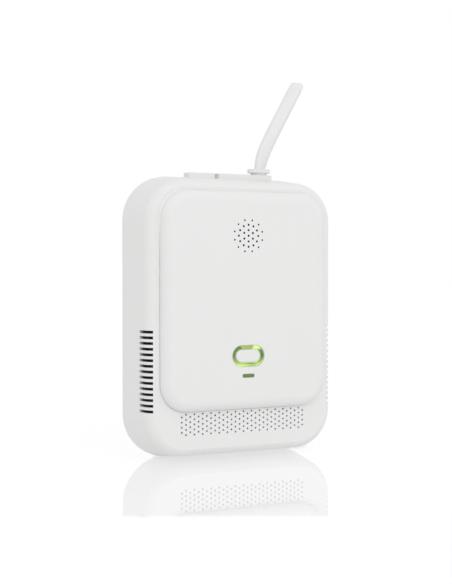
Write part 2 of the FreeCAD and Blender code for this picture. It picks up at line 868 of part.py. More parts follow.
def cover_posts(body):
    """Posts that the case screws pass through, and bosses for the cord clamp's screws."""
    posts = sketch_front(body, "cover_posts", "post_y")
    for x, z in post_places():
        add_circle(posts, "post_r", x, z)
    pad(body, posts, "post_length + wall / 2")
    clamp = sketch_front(body, "clamp_bosses", "clamp_y")
    for side in ("-", "+"):
        add_circle(clamp, "clamp_boss_r", f"outlet_x {side} clamp_pitch / 2", "clamp_z")
    pad(body, clamp, "cover_in_y - clamp_y + wall / 2")
    holes = sketch_front(body, "cover_screw_holes", "post_y")
    for x, z in post_places():
        add_circle(holes, "case_screw_r + screw_play", x, z)
    cut(body, holes, "cover_depth + post_length")
    heads = sketch_front(body, "cover_head_holes", "head_y")
    for x, z in post_places():
        add_circle(heads, "case_head_r + screw_play", x, z)
    cut(body, heads, "cover_depth")
    pilots = sketch_front(body, "clamp_pilots", "clamp_y")
    for side in ("-", "+"):
        add_circle(pilots, "small_screw_r + thread_fit", f"outlet_x {side} clamp_pitch / 2", "clamp_z")
    cut(body, pilots, "small_screw_length - clamp_thick + screw_play")


def cover_ledges(body):
    """Two raised ledges on the top edge; the right one carries the cord outlet."""
    ledges = sketch_front(body, "cover_ledges", "ledge_y")
    add_rectangle(ledges, "ledge_left", "slit_left", "height - wall / 2", "ledge_z")
    add_rectangle(ledges, "slit_left + ledge_slit", "outlet_x + outlet_side", "height - wall / 2", "ledge_z")
    pad(body, ledges, "ledge_depth")
    outlet = sketch_floor(body, "cord_outlet", "ledge_z")
    add_stadium(outlet, "cord_w + 2 * (grip_gap + gland_wall + glue_gap)",
                "cord_thick + 2 * (grip_gap + gland_wall + glue_gap)", "outlet_x", "outlet_y")
    cut(body, outlet, "ledge_rise + 2 * wall + 1")


def bracket_slots(body):
    """Keyhole slots for the wall bracket's four hooks: narrow above, wide below."""
    narrow = sketch_front(body, "hook_slots", "cover_in_y - 1")
    wide = sketch_front(body, "hook_mouths", "cover_in_y - 1")
    for x in ("-hook_pitch_x / 2", "hook_pitch_x / 2"):
        for z in ("hook_low_z", "hook_high_z"):
            add_rectangle(narrow, f"{x} - hook_neck_w / 2 - hook_play", f"{x} + hook_neck_w / 2 + hook_play",
                          f"{z} - hook_travel - hook_neck_h / 2 - hook_play", f"{z} + hook_neck_h / 2 + hook_gap")
            add_rectangle(wide, f"{x} - hook_head_w / 2 - hook_play", f"{x} + hook_head_w / 2 + hook_play",
                          f"{z} - hook_travel - hook_head_h / 2 - hook_play",
                          f"{z} - hook_travel + hook_head_h / 2 + hook_play")
    cut(body, narrow, "wall + 2")
    cut(body, wide, "wall + 2")


def wall_bracket():
    """The plate that is screwed to the wall, with four hooks and a spring latch at the top."""
    body = new_body("wall_bracket")
    plate = sketch_front(body, "bracket_outline", "bracket_y")
    add_rounded(plate, "-bracket_w / 2", "bracket_w / 2", "bracket_low", "bracket_high_z", "bracket_corner_r")
    pad(body, plate, "bracket_thick")
    latch = sketch_front(body, "bracket_latch", "bracket_y")
    add_rectangle(latch, "latch_left", "latch_right", "bracket_high_z - 1", "latch_top_z")
    pad(body, latch, "bracket_thick")
    necks = sketch_front(body, "hook_necks", "bracket_y")
    heads = sketch_front(body, "hook_heads", "hook_head_y + hook_head_thick")
    for x in ("-hook_pitch_x / 2", "hook_pitch_x / 2"):
        for z in ("hook_low_z", "hook_high_z"):
            for sketch, size in ((necks, "hook_neck"), (heads, "hook_head")):
                add_rectangle(sketch, f"{x} - {size}_w / 2", f"{x} + {size}_w / 2",
                              f"{z} - {size}_h / 2", f"{z} + {size}_h / 2")
    pad(body, necks, "bracket_y - hook_head_y", ahead=True)
    pad(body, heads, "hook_head_thick", ahead=True)
    slits = sketch_front(body, "latch_slits", "bracket_y")
    add_rectangle(slits, "latch_left - latch_slit", "latch_left", "bracket_high_z - latch_slit_length",
                  "bracket_high_z + 1")
    add_rectangle(slits, "latch_right", "latch_right + latch_slit", "bracket_high_z - latch_slit_length",
                  "bracket_high_z + 1")
    cut(body, slits, "bracket_thick + 1")
    screws = sketch_front(body, "bracket_screw_holes", "bracket_y")
    for side in ("-", "+"):
        add_circle(screws, "bracket_screw_r", f"0 {side} bracket_screw_pitch / 2", "bracket_screw_z")
    cut(body, screws, "bracket_thick + 1")
    keep("wall_bracket", body)


# ---- button, ring and lens -------------------------------------------------------------

def button_light_ring():
    """A clear green ring round the button that leads the lamps' light to the front."""
    body = new_body("button_light_ring")
    outer = sketch_front(body, "ring_outline", "ring_front_y", z="button_height")
    add_stadium(outer, "ring_w", "ring_h")
    pad(body, outer, "ring_back_y - ring_front_y")
    flange = sketch_front(body, "ring_flange_outline", "plate_in_y", z="button_height")
    add_stadium(flange, "ring_w + 2 * ring_flange", "ring_h + 2 * ring_flange")
    pad(body, flange, "ring_flange_thick")
    bore = sketch_front(body, "ring_bore", "ring_front_y", z="button_height")
    add_stadium(bore, "ring_w - 2 * ring_band", "ring_h - 2 * ring_band")
    cut(body, bore, "ring_back_y - ring_front_y + 1")
    dress(body, "Chamfer", level_with("ring_front_y"), Size="ring_facet")
    keep("button_light_ring", body)


def test_button():
    """An oval push button with a collar behind the ring that keeps it in."""
    body = new_body("test_button")
    cap = sketch_front(body, "button_cap", "ring_front_y + ring_sink", z="button_height")
    add_stadium(cap, "ring_w - 2 * (ring_band + button_gap)", "ring_h - 2 * (ring_band + button_gap)")
    pad(body, cap, "flange_y - ring_front_y - ring_sink")
    collar = sketch_front(body, "button_collar", "flange_y", z="button_height")
    add_stadium(collar, "ring_w - 2 * (ring_band - flange_reach)", "ring_h - 2 * (ring_band - flange_reach)")
    pad(body, collar, "flange_thick")
    dress(body, "Fillet", level_with("ring_front_y + ring_sink"), Radius="button_edge_r")
    keep("test_button", body)


def status_lens():
    """A small bar-shaped light pipe below the button."""
    body = new_body("status_lens")
    bar = sketch_front(body, "lens_outline", "ring_front_y", z="lens_z")
    add_rounded(bar, "-lens_w / 2", "lens_w / 2", "-lens_h / 2", "lens_h / 2", "lens_corner_r")
    pad(body, bar, "lens_back_y - ring_front_y")
    flange = sketch_front(body, "lens_flange_outline", "plate_in_y", z="lens_z")
    add_rounded(flange, "-lens_w / 2 - lens_flange", "lens_w / 2 + lens_flange", "-lens_h / 2 - lens_flange",
                "lens_h / 2 + lens_flange", "lens_corner_r + lens_flange / 2")
    pad(body, flange, "ring_flange_thick")
    keep("status_lens", body)


def switch_parts():
    """The push switch on the board and the plunger that the button's collar pushes."""
    base = block("switch_base", ("-switch_side / 2", "switch_side / 2"), ("board_y - switch_tall", "board_y"),
                 ("button_height - switch_side / 2", "button_height + switch_side / 2"))
    bore = rod("switch_bore", "y", "plunger_r + plunger_fit", "0",
               ("board_y - switch_tall - 1", "tip_y + plunger_out + plunger_in + button_travel + stop_gap"),
               "button_height")
    keep("test_switch", carve("test_switch", base, bore))
    keep("switch_plunger", rod("switch_plunger", "y", "plunger_r", "0",
                               ("tip_y", "tip_y + plunger_out + plunger_in"), "button_height"))


def lamp(name, x, z):
    return block(name, (f"{x} - lamp_w / 2", f"{x} + lamp_w / 2"), ("board_y - lamp_tall", "board_y"),
                 (f"{z} - lamp_h / 2", f"{z} + lamp_h / 2"))


def lamps():
    """Lamps behind the ring and the lens, and the shroud that keeps the ring's light in."""
    pair = [lamp("ring_lamp_left", "0 - lamp_offset", "button_height"),
            lamp("ring_lamp_right", "0 + lamp_offset", "button_height")]
    keep("ring_lamps", group("ring_lamps", pair))
    keep("status_lamp", lamp("status_lamp", "0", "lens_z"))
    body = new_body("light_shroud")
    wall = sketch_front(body, "shroud_outline", "inner_y", z="button_height")
    for extra in ("shroud_gap", "(shroud_gap + shroud_wall)"):
        add_stadium(wall, f"ring_w + 2 * {extra}", f"ring_h + 2 * {extra}")
    pad(body, wall, "board_standoff")
    keep("light_shroud", body)


# ---- sounder, meshes and sensor --------------------------------------------------------

def sounder():
    """A round chamber with a sound port, its piezo disc and the foam gasket in front."""
    body = new_body("sounder_chamber")
    front = "inner_y + gasket_thick"
    outer = sketch_front(body, "chamber_outline", front, z="sound_z")
    add_circle(outer, "chamber_r")
    pad(body, outer, f"board_y - ({front})")
    port = sketch_front(body, "chamber_port", front, z="sound_z")
    add_circle(port, "chamber_port_r")
    cut(body, port, "board_standoff")
    seat = sketch_front(body, "chamber_bore", f"{front} + chamber_wall", z="sound_z")
    add_circle(seat, "chamber_r - 2 * chamber_wall")
    cut(body, seat, "board_standoff")
    disc_y = f"{front} + chamber_wall + chamber_ledge"
    room = sketch_front(body, "chamber_disc_seat", disc_y, z="sound_z")
    add_circle(room, "chamber_r - chamber_wall")
    cut(body, room, "board_standoff")
    keep("sounder_chamber", body)
    keep("piezo_disc", rod("piezo_disc", "y", "chamber_r - chamber_wall - disc_gap", "0",
                           (disc_y, f"{disc_y} + disc_thick"), "sound_z"))
    ring = rod("gasket_blank", "y", "gasket_r", "0", ("inner_y", front), "sound_z")
    hole = rod("gasket_hole", "y", "sound_port_r", "0", ("inner_y - 1", f"{front} + 1"), "sound_z")
    keep("sounder_gasket", carve("sounder_gasket", ring, hole))


def meshes():
    """Fine meshes that keep insects and dust out of the sounder and the chin."""
    keep("sounder_mesh", rod("sounder_mesh", "y", "sound_port_r", "0",
                             ("plate_in_y", "plate_in_y + mesh_thick"), "sound_z"))
    floor_y = "front_y + air_wall"
    keep("chin_mesh", block("chin_mesh", ("-air_half + plate_gap", "air_half - plate_gap"),
                            (floor_y, f"{floor_y} + mesh_thick"),
                            ("air_low_z - air_hole_r - air_margin + glue_gap",
                             "air_top_z + air_hole_r + air_margin / 3 - glue_gap")))


def gas_sensor():
    """The electrochemical cell with its filter disc, behind the chin's air holes."""
    z = "board_margin_low + sensor_lift"
    keep("co_sensor", rod("co_sensor", "y", "sensor_r", "-sensor_x", ("board_y - sensor_tall", "board_y"), z))
    keep("sensor_filter", rod("sensor_filter", "y", "filter_r", "-sensor_x",
                              ("board_y - sensor_tall - filter_thick", "board_y - sensor_tall"), z))


# ---- circuit board ---------------------------------------------------------------------

def circuit_board():
    body = new_body("circuit_board")
    outline = sketch_front(body, "board_outline", "board_y")
    add_rounded(outline, "-board_half", "board_half", "board_margin_low", "board_high_z", "board_corner_r")
    pad(body, outline, "board_thick")
    holes = sketch_front(body, "board_holes", "board_y")
    for x, z in standoff_places():
        add_circle(holes, "small_screw_r + screw_play", x, z)
    cut(body, holes, "board_thick + 1")
    keep("circuit_board", body)


def board_front_parts():
    """Low parts on the board's front: controller, clock crystal and small passive parts."""
    front = ("board_y - chip_tall", "board_y")
    z = "board_margin_low + sensor_lift"
    keep("controller_chip", block("controller_chip", ("chip_x - chip_side / 2", "chip_x + chip_side / 2"), front,
                                  (f"{z} - chip_side / 2", f"{z} + chip_side / 2")))
    top = f"{z} + chip_side"
    keep("clock_crystal", block("clock_crystal", ("chip_x - crystal_w / 2", "chip_x + crystal_w / 2"),
                                ("board_y - crystal_tall", "board_y"),
                                (f"{top} - crystal_h / 2", f"{top} + crystal_h / 2")))
    parts = []
    for row in range(3):
        for column in range(6):
            x = f"passive_pitch * ({column - 2.5})"
            place = f"sound_z - chamber_r - passive_pitch * ({row + 1})"
            parts.append(block(f"passive_{row}_{column}", (f"{x} - passive_w / 2", f"{x} + passive_w / 2"),
                               ("board_y - passive_tall", "board_y"),
                               (f"{place} - passive_h / 2", f"{place} + passive_h / 2")))
    keep("passive_parts", group("passive_parts", parts))


def board_back_parts():
    """The tall mains parts on the board's back."""
    y = "board_back_y"
    case = block("module_block", ("module_left", "module_left + module_w"), (y, f"{y} + module_tall"),
                 ("sound_z - module_h", "sound_z"))
    doc.recompute()
    module = doc.addObject("Part::Fillet", "power_module")
    module.Base = case
    rear = val(f"{y} + module_tall")
    module.Edges = [(i, val("module_edge_r"), val("module_edge_r"))
                    for i, edge in enumerate(case.Shape.Edges, start=1) if edge.BoundBox.YMax > rear - 0.001]
    keep("power_module", module)
    cans = [rod(f"can_{i}", "y", "can_r", f"can_x - can_pitch * {i}", (y, f"{y} + can_tall"), "can_z")
            for i in (0, 1)]
    keep("filter_capacitors", group("filter_capacitors", cans))
    varistor(y)
    fuse(y)


def varistor(y):
    x, z = "module_left + module_w + varistor_gap", "sound_z - module_h / 2 - can_r"
    middle = f"{y} + pin_stand + varistor_r"
    disc = rod("varistor_disc", "x", "varistor_r", (f"{x} - varistor_thick / 2", f"{x} + varistor_thick / 2"),
               middle, z)
    pins = [rod(f"varistor_pin_{side}", "y", "pin_r", x, (y, middle), f"{z} + ({side}) * varistor_r / 2")
            for side in (-1, 1)]
    keep("varistor", join("varistor", [disc] + pins))


def fuse(y):
    """A glass fuse in two cradles, upright beside the power module."""
    x = "board_half - fuse_inset"
    low = "fuse_high_z - fuse_length"
    middle = f"{y} + clip_base + fuse_r"
    keep("fuse_tube", rod("fuse_tube", "z", "fuse_r", x, middle, (low, f"{low} + fuse_length")))
    clips = []
    for name, start in (("low", low), ("high", f"{low} + fuse_length - clip_length")):
        base = block(f"clip_block_{name}", (f"{x} - clip_w / 2", f"{x} + clip_w / 2"), (y, middle),
                     (start, f"{start} + clip_length"))
        seat = rod(f"clip_seat_{name}", "z", "fuse_r + thread_fit", x, middle, (f"{start} - 1",
                                                                               f"{start} + clip_length + 1"))
        clips.append(carve(f"clip_{name}", base, seat))
    keep("fuse_clips", group("fuse_clips", clips))


# ---- mains entry -----------------------------------------------------------------------

def terminal_parts():
    """The two-way terminal block and its screws."""
    y, x = "board_back_y", "outlet_x"
    case = block("terminal_case", (f"{x} - terminal_w / 2", f"{x} + terminal_w / 2"),
                 (y, f"{y} + terminal_tall"), ("terminal_z", "terminal_z + terminal_h"))
    tools, screws = [], []
    head_y = f"{y} + terminal_tall - terminal_screw_sink"
    for side in ("-", "+"):
        place = f"{x} {side} terminal_pitch / 2"
        middle = "terminal_z + terminal_h / 2"
        name = "left" if side == "-" else "right"
        tools.append(rod(f"terminal_well_{name}", "y", "terminal_screw_r + thread_fit", place,
                         (head_y, f"{y} + terminal_tall + 1"), middle))
        tools.append(rod(f"terminal_entry_{name}", "z", "wire_r + thread_fit", place, f"{y} + terminal_tall / 2",
                         ("terminal_z + terminal_h - wire_entry", "terminal_z + terminal_h + 1")))
        screws.append(rod(f"terminal_screw_{name}", "y", "terminal_screw_r", place,
                          (head_y, f"{head_y} + terminal_screw_sink / 2"), middle))
    keep("terminal_block", carve("terminal_block", case, join("terminal_tools", tools)))
    keep("terminal_screws", group("terminal_screws", screws))


def cord_gland():
    """The collar on top of the case that grips the cord."""
    body = new_body("cord_gland")
    flange = sketch_floor(body, "gland_flange", "gland_low_z")
    add_stadium(flange, "gland_flange_w", "gland_flange_d", "outlet_x", "outlet_y")
    pad(body, flange, "gland_flange_thick", ahead=True)
    neck = sketch_floor(body, "gland_neck", "gland_foot_z")
    add_stadium(neck, "cord_w + 2 * (grip_gap + gland_wall)", "cord_thick + 2 * (grip_gap + gland_wall)",
                "outlet_x", "outlet_y")
    pad(body, neck, "gland_low_z - gland_foot_z + gland_flange_thick / 2", ahead=True)
    foot = sketch_floor(body, "gland_foot", "gland_foot_z")
    add_rectangle(foot, "outlet_x - cord_w / 2 - gland_wall - gland_foot_reach",
                  "outlet_x + cord_w / 2 + gland_wall + gland_foot_reach",
                  "outlet_y - cord_thick / 2 - gland_wall / 2", "outlet_y")
    pad(body, foot, "gland_foot_thick", ahead=True)
    bore = sketch_floor(body, "gland_bore", "gland_foot_z")
    add_stadium(bore, "cord_w + 2 * grip_gap", "cord_thick + 2 * grip_gap", "outlet_x", "outlet_y")
    cut(body, bore, "gland_top_z - gland_foot_z + 1", ahead=True)
    keep("cord_gland", body)


def cord_tail():
    """The flat cord's end inside the case, down to where its sheath stops."""
    body = new_body("cord_tail")
    section = sketch_floor(body, "tail_section", "tail_low_z")
    add_stadium(section, "cord_w", "cord_thick", "outlet_x", "outlet_y")
    pad(body, section, "tail_length", ahead=True)
    keep("cord_tail", body)


def cord_clamp():
    """A bar with two screws that holds the cord to the rear cover."""
    x = "outlet_x"
    bar = block("clamp_bar", (f"{x} - clamp_w / 2", f"{x} + clamp_w / 2"), ("clamp_y - clamp_thick", "clamp_y"),
                ("clamp_z - clamp_h / 2", "clamp_z + clamp_h / 2"))
    holes, screws = [], []
    for name, side in (("left", "-"), ("right", "+")):
        place = f"{x} {side} clamp_pitch / 2"
        holes.append(rod(f"clamp_hole_{name}", "y", "small_screw_r + screw_play", place,
                         ("clamp_y - clamp_thick - 1", "clamp_y + 1"), "clamp_z"))
        screws.append(small_screw(f"clamp_screw_{name}", place, "clamp_y - clamp_thick", "clamp_z", 1))
    keep("cord_clamp", carve("cord_clamp", bar, join("clamp_holes", holes)))
    keep("clamp_screws", group("clamp_screws", screws))


def small_screw(name, x, seat, z, way):
    """A pan-head screw whose shank runs from its seat towards the back (1) or the front (-1)."""
    spans = {1: ((f"{seat} - small_head_thick", seat), (seat, f"{seat} + small_screw_length")),
             -1: ((seat, f"{seat} + small_head_thick"), (f"{seat} - small_screw_length", seat))}
    head, shank = spans[way]
    return join(name, [rod(name + "_head", "y", "small_head_r", x, head, z),
                       rod(name + "_shank", "y", "small_screw_r", x, shank, z)])


def fasteners():
    board = [small_screw(f"board_screw_{i}", x, "board_back_y", z, -1)
             for i, (x, z) in enumerate(standoff_places())]
    keep("board_screws", group("board_screws", board))
    case = []
    for i, (x, z) in enumerate(post_places()):
        head = rod(f"case_screw_head_{i}", "y", "case_head_r", x, ("head_y", "head_y + case_head_thick"), z)
        shank = rod(f"case_screw_shank_{i}", "y", "case_screw_r", x, ("head_y - case_screw_length", "head_y"), z)
        case.append(join(f"case_screw_{i}", [head, shank]))
    keep("case_screws", group("case_screws", case))


# ---- cord, coil and plug ---------------------------------------------------------------

def smooth_path(points):
    """Straight runs joined by tangent arcs, each as large as its two runs allow."""
    runs = [points[i + 1] - points[i] for i in range(len(points) - 1)]
    edges, radii, start = [], [], points[0]
    for i in range(1, len(points) - 1):
        before, after = runs[i - 1], runs[i]
        turn = before.getAngle(after)
        reach = 0.45 * min(before.Length, after.Length)
        radii.append(reach / math.tan(turn / 2))
        first = points[i] - before.normalize() * reach
        last = points[i] + Vector(after).normalize() * reach
        inner = Vector(after).normalize() - before
        middle = points[i] + inner.normalize() * radii[-1] * (1 / math.cos(turn / 2) - 1)
        edges.append(Part.LineSegment(start, first).toShape())
        edges.append(Part.Arc(first, middle, last).toShape())
        start = last
    edges.append(Part.LineSegment(start, points[-1]).toShape())
    return Part.Wire(edges), radii


def tube(points, radius):
    """A round bar along a smooth path, checked against its section times its length."""
    path, radii = smooth_path([Vector(*point) for point in points])
    first = Vector(*points[1]) - Vector(*points[0])
    section = Part.Wire([Part.makeCircle(radius, Vector(*points[0]), first)])
    solid = path.makePipeShell([section], True, False)
    expected = math.pi * radius ** 2 * path.Length
    if abs(solid.Volume - expected) > 0.01 * expected:
        raise RuntimeError(f"cord volume {solid.Volume:.1f} is not {expected:.1f}")
    print("cord path", round(path.Length, 1), "radii", [round(value, 1) for value in radii])
    return solid


def fixed(name, shape):
    item = doc.addObject("Part::Feature", name)
    item.Shape = shape
    return item


def lead_wires():
    """Two cores from the cord's sheath to the terminal block."""
    wires = []
    top, low = val("tail_low_z"), val("terminal_z + terminal_h")
    back, entry = val("outlet_y"), val("board_back_y + terminal_tall / 2")
    middle, bend, end = (top + low) / 2, val("lead_bend / 2"), low - val("wire_entry - wire_end_gap")
    for side in (-1, 1):
        high_x = val("outlet_x") + side * val("cord_w") / 4
        low_x = val("outlet_x") + side * val("terminal_pitch") / 2
        points = [(high_x, back, top), (high_x, back, middle + bend), (low_x, entry, middle - bend),
                  (low_x, entry, end)]
        wires.append(bent_wire(points, val("wire_r")))
    keep("lead_wires", fixed("lead_wires", Part.makeCompound(wires)))


def bent_wire(points, radius):
    """Straight bars with a ball at each bend."""
    points = [Vector(*point) for point in points]
    solid = None
    for start, end in zip(points, points[1:]):
        bar = Part.makeCylinder(radius, (end - start).Length, start, end - start)
        solid = bar if solid is None else solid.fuse(bar)
    for point in points[1:-1]:
        solid = solid.fuse(Part.makeSphere(radius, point))
    return solid.removeSplitter()


def mains_cord():
    """The free cord: over the top to the coil, and from the coil to the plug."""
    radius = val("cord_w / 2")
    outlet = Vector(val("outlet_x"), val("outlet_y"), val("gland_top_z"))
    start = outlet + (outlet - Vector(*CORD_ROUTE[0])).normalize() * radius
    side = val("gland_flange_w")
    below = Part.makeBox(2 * side, 2 * side, side, outlet - Vector(side, side, side))
    strand = tube([start] + CORD_ROUTE, radius).cut(below)
    tail = tube(PLUG_ROUTE + [(val("plug_x"), val("plug_y"), val("plug_z"))], radius)
    keep("mains_cord", fixed("mains_cord", Part.makeCompound([strand, tail])))


def cord_coil():
    outer = rod("coil_outer", "z", "coil_high_r", "coil_x", "coil_y", ("0", "coil_tall"))
    inner = rod("coil_inner", "z", "coil_low_r", "coil_x", "coil_y", ("-1", "coil_tall + 1"))
    keep("cord_coil", carve("cord_coil", outer, inner))


def plug():
    """A flat two-pin plug with a tapered strain relief, lying on the floor by the coil."""
    relief = doc.addObject("Part::Cone", "plug_relief")
    relief.Placement = Placement(Vector(), Rotation(Vector(1, 0, 0), -90))
    bind(relief, Radius1="cord_w / 2", Radius2="relief_r", Height="relief_length", Placement__Base__x="plug_x",
         Placement__Base__y="plug_y", Placement__Base__z="plug_z")
    keep("plug_relief", relief)
    body = new_body("plug_body")
    near, shoulder, far = "plug_y + relief_length", "plug_y + relief_length + plug_length / 2", "plug_face_y"
    outline = sketch_floor(body, "plug_outline", "0")
    add_polygon(outline, [
        ("plug_x - plug_neck_w / 2", near), ("plug_x + plug_neck_w / 2", near), ("plug_x + plug_w / 2", shoulder),
        ("plug_x + plug_w / 2", far), ("plug_x - plug_w / 2", far), ("plug_x - plug_w / 2", shoulder)])
    pad(body, outline, "plug_tall", ahead=True)
    tapers = sketch_side(body, "plug_tapers", "plug_x - plug_w / 2 - 1")
    for side in ("-", "+"):
        neck, face, beyond = (f"plug_z {side} {half}"
                              for half in ("plug_neck_tall / 2", "plug_tall / 2", "(plug_tall / 2 + 1)"))
        add_polygon(tapers, [(f"{near} - 1", neck), (shoulder, face), (shoulder, beyond), (f"{near} - 1", beyond)])
    cut(body, tapers, "plug_w + 2", ahead=True)
    dress(body, "Fillet", lambda edge: edge.BoundBox.YLength > 1, Radius="plug_tall / 5")
    start, end = level_with(near), level_with(far)
    dress(body, "Fillet", lambda edge: start(edge) or end(edge), Radius="plug_edge_r")
    holes = sketch_front(body, "plug_pin_holes", "plug_face_y", x="plug_x", z="plug_z")
    for side in ("-", "+"):
        add_circle(holes, "plug_pin_core_r", f"0 {side} plug_pin_pitch / 2")
    cut(body, holes, "sleeve_length", ahead=True)
    keep("plug_body", body)
    plug_pins()


def plug_pins():
    """Two round pins, thin under the insulating sleeves and full size at the tips."""
    pins, sleeves = [], []
    for name, side in (("left", "-"), ("right", "+")):
        x = f"plug_x {side} plug_pin_pitch / 2"
        face = "plug_face_y"
        core = rod(f"pin_core_{name}", "y", "plug_pin_core_r", x,
                   (f"{face} - sleeve_length", f"{face} + sleeve_length"), "plug_z")
        tip = rod(f"pin_tip_{name}", "y", "plug_pin_r", x,
                  (f"{face} + sleeve_length", f"{face} + plug_pin_length"), "plug_z")
        pins.append(join(f"pin_{name}", [core, tip]))
        blank = rod(f"sleeve_blank_{name}", "y", "plug_pin_r", x, (face, f"{face} + sleeve_length"), "plug_z")
        bore = rod(f"sleeve_bore_{name}", "y", "plug_pin_core_r", x,
                   (f"{face} - 1", f"{face} + sleeve_length + 1"), "plug_z")
        sleeves.append(carve(f"sleeve_{name}", blank, bore))
    keep("plug_pins", group("plug_pins", pins))
    keep("pin_sleeves", group("pin_sleeves", sleeves))


def check_model():
    """Stops when an object has failed or a sub-part is not a valid solid."""
    for item in doc.Objects:
        if "Invalid" in item.State or "Error" in item.State:
            raise RuntimeError(f"{item.Name} failed: {item.State}")
    for label, item in nodes.items():
        shape = item.Shape
        if shape.isNull() or not shape.isValid() or not shape.Solids:
            raise RuntimeError(f"{label} is not a valid solid")


def export_parts():
    os.makedirs("parts", exist_ok=True)
    for label, item in nodes.items():
        item.Shape.exportStep(f"parts/{label}.step")
        box = item.Shape.BoundBox
        print(f"{label:20s} solids {len(item.Shape.Solids):2d}  volume {item.Shape.Volume:9.1f}  "
              f"box {box.XMin:.2f} {box.YMin:.2f} {box.ZMin:.2f} to {box.XMax:.2f} {box.YMax:.2f} {box.ZMax:.2f}")


dims = make_sheet()
front_housing()
front_plate()
rear_cover()
wall_bracket()
button_light_ring()
test_button()
status_lens()
switch_parts()
lamps()
sounder()
meshes()
gas_sensor()
circuit_board()
board_front_parts()
board_back_parts()
terminal_parts()
cord_gland()
cord_tail()
cord_clamp()
fasteners()
lead_wires()
mains_cord()
cord_coil()
plug()
doc.recompute()
check_model()
export_parts()
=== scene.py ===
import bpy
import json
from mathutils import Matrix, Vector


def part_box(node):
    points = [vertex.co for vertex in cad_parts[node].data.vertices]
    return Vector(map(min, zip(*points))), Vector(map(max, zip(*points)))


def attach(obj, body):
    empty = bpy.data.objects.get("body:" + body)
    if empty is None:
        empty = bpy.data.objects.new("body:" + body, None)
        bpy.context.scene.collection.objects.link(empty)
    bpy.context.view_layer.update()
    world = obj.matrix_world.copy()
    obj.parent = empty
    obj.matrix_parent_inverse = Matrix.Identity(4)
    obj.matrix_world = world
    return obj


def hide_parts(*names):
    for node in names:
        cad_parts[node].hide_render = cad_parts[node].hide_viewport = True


bl_info = {
    "name": "Carbon monoxide detector",
    "version": (1, 0, 0),
    "blender": (4, 5, 0),
    "location": "View3D > Sidebar > Detector",
    "description": "Finishes of a mains carbon monoxide detector with flat cord, plug and fixings",
    "category": "Object",
}

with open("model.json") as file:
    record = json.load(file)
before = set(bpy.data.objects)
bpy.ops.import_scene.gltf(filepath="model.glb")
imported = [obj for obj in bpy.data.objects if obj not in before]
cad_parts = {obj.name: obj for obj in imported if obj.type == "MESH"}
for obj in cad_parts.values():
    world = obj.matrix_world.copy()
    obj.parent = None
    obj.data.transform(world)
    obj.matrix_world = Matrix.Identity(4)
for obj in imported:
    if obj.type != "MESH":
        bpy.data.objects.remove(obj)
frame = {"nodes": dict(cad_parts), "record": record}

import json
import math

import bmesh
import bpy
from bpy.props import FloatProperty, FloatVectorProperty, IntProperty, PointerProperty
from mathutils import Matrix, Vector

MM = 0.001
FULL_TURN = 2 * math.pi

# Sizes of the case that its nodes' boxes don't give: the face of the front shell round the plate,
# the rounding between that face and a flank, how fast a flank spreads backwards, and the heights
# between which the side slots lie.  They place the painted shade in the slots and the painted
# light in the plate's seam.
FRONT_Y = -12.6 * MM
FLANK_AXIS = Vector((40.6, -7.24, 0.0)) * MM
FLANK_RADIUS = 5.91 * MM
FLANK_DRAFT = 0.14
SLOTS_LOW, SLOTS_HIGH = 22.0 * MM, 59.0 * MM

# The light ring: its hidden flange and its visible band.  Its painted highlights and shade go round
# from its left end by way of the bottom, and its painted light across the band goes from the outer
# edge inwards, with pale edges and a dark line low down.
RING_FLANGE = 1.4 * MM
RING_BAND = 1.85 * MM
PAINTED_RING_ROUND = (
    (0.0, 0.10), (0.07, 0.55), (0.12, 0.95), (0.24, 0.66), (0.34, 0.50), (0.40, 0.85),
    (0.45, 0.45), (0.50, 0.04), (0.56, 0.14), (0.60, 1.0), (0.655, 0.95), (0.675, 0.36),
    (0.86, 0.42), (0.885, 0.07), (0.94, 0.10), (1.0, 0.10),
)
PAINTED_RING_EDGES = ((0.0, 1.0), (0.14, 0.5), (0.26, 0.0), (0.80, 0.0), (0.95, 0.4), (1.0, 0.8))
PAINTED_RING_LINE = ((0.55, 0.0), (0.68, 0.7), (0.78, 0.7), (0.88, 0.0))


def tint(label, text, default):
    """A colour that a user can change."""
    return FloatVectorProperty(name=label, description=text, subtype="COLOR", size=3, min=0.0,
                               max=1.0, default=default)


def length(label, text, default):
    """A length that a user can change, in metres."""
    return FloatProperty(name=label, description=text, unit="LENGTH", min=0.0, default=default,
                         precision=5)


def share(label, text, default, top=1.0):
    """A plain number that a user can change."""
    return FloatProperty(name=label, description=text, min=0.0, max=top, default=default)


def angle(label, text, degrees):
    """An angle that a user can change."""
    return FloatProperty(name=label, description=text, unit="ROTATION",
                         default=math.radians(degrees))


def place_of(label, text, default):
    """A place that a user can change, in metres."""
    return FloatVectorProperty(name=label, description=text, subtype="TRANSLATION", size=3,
                               unit="LENGTH", default=default)


# ---- what a user can change ------------------------------------------------------------

class CaseLooks(bpy.types.PropertyGroup):
    shell: tint("Shell", "Colour of the shells, plate, bracket and button", (0.80, 0.80, 0.795))
    # Colour of the painted shade on the walls of the side slots and the sounder's holes.
    inside: tint("Inside", "Colour of what shows through the slots", (0.02, 0.02, 0.02))
    grain: length("Grain", "Size of the moulding's fine grain", 0.3 * MM)
    grain_depth: length("Grain depth", "Depth of the moulding's fine grain", 0.012 * MM)
    roughness: share("Roughness", "How matt the shells are", 0.46)
    mottle: share("Mottle", "How uneven the shells' tone is", 0.012)
    # Strength of the painted light that glows in the plate's top seam and lifts its shade.
    seam_light: share("Seep", "Strength of the light in the plate's seam at the top", 0.6)


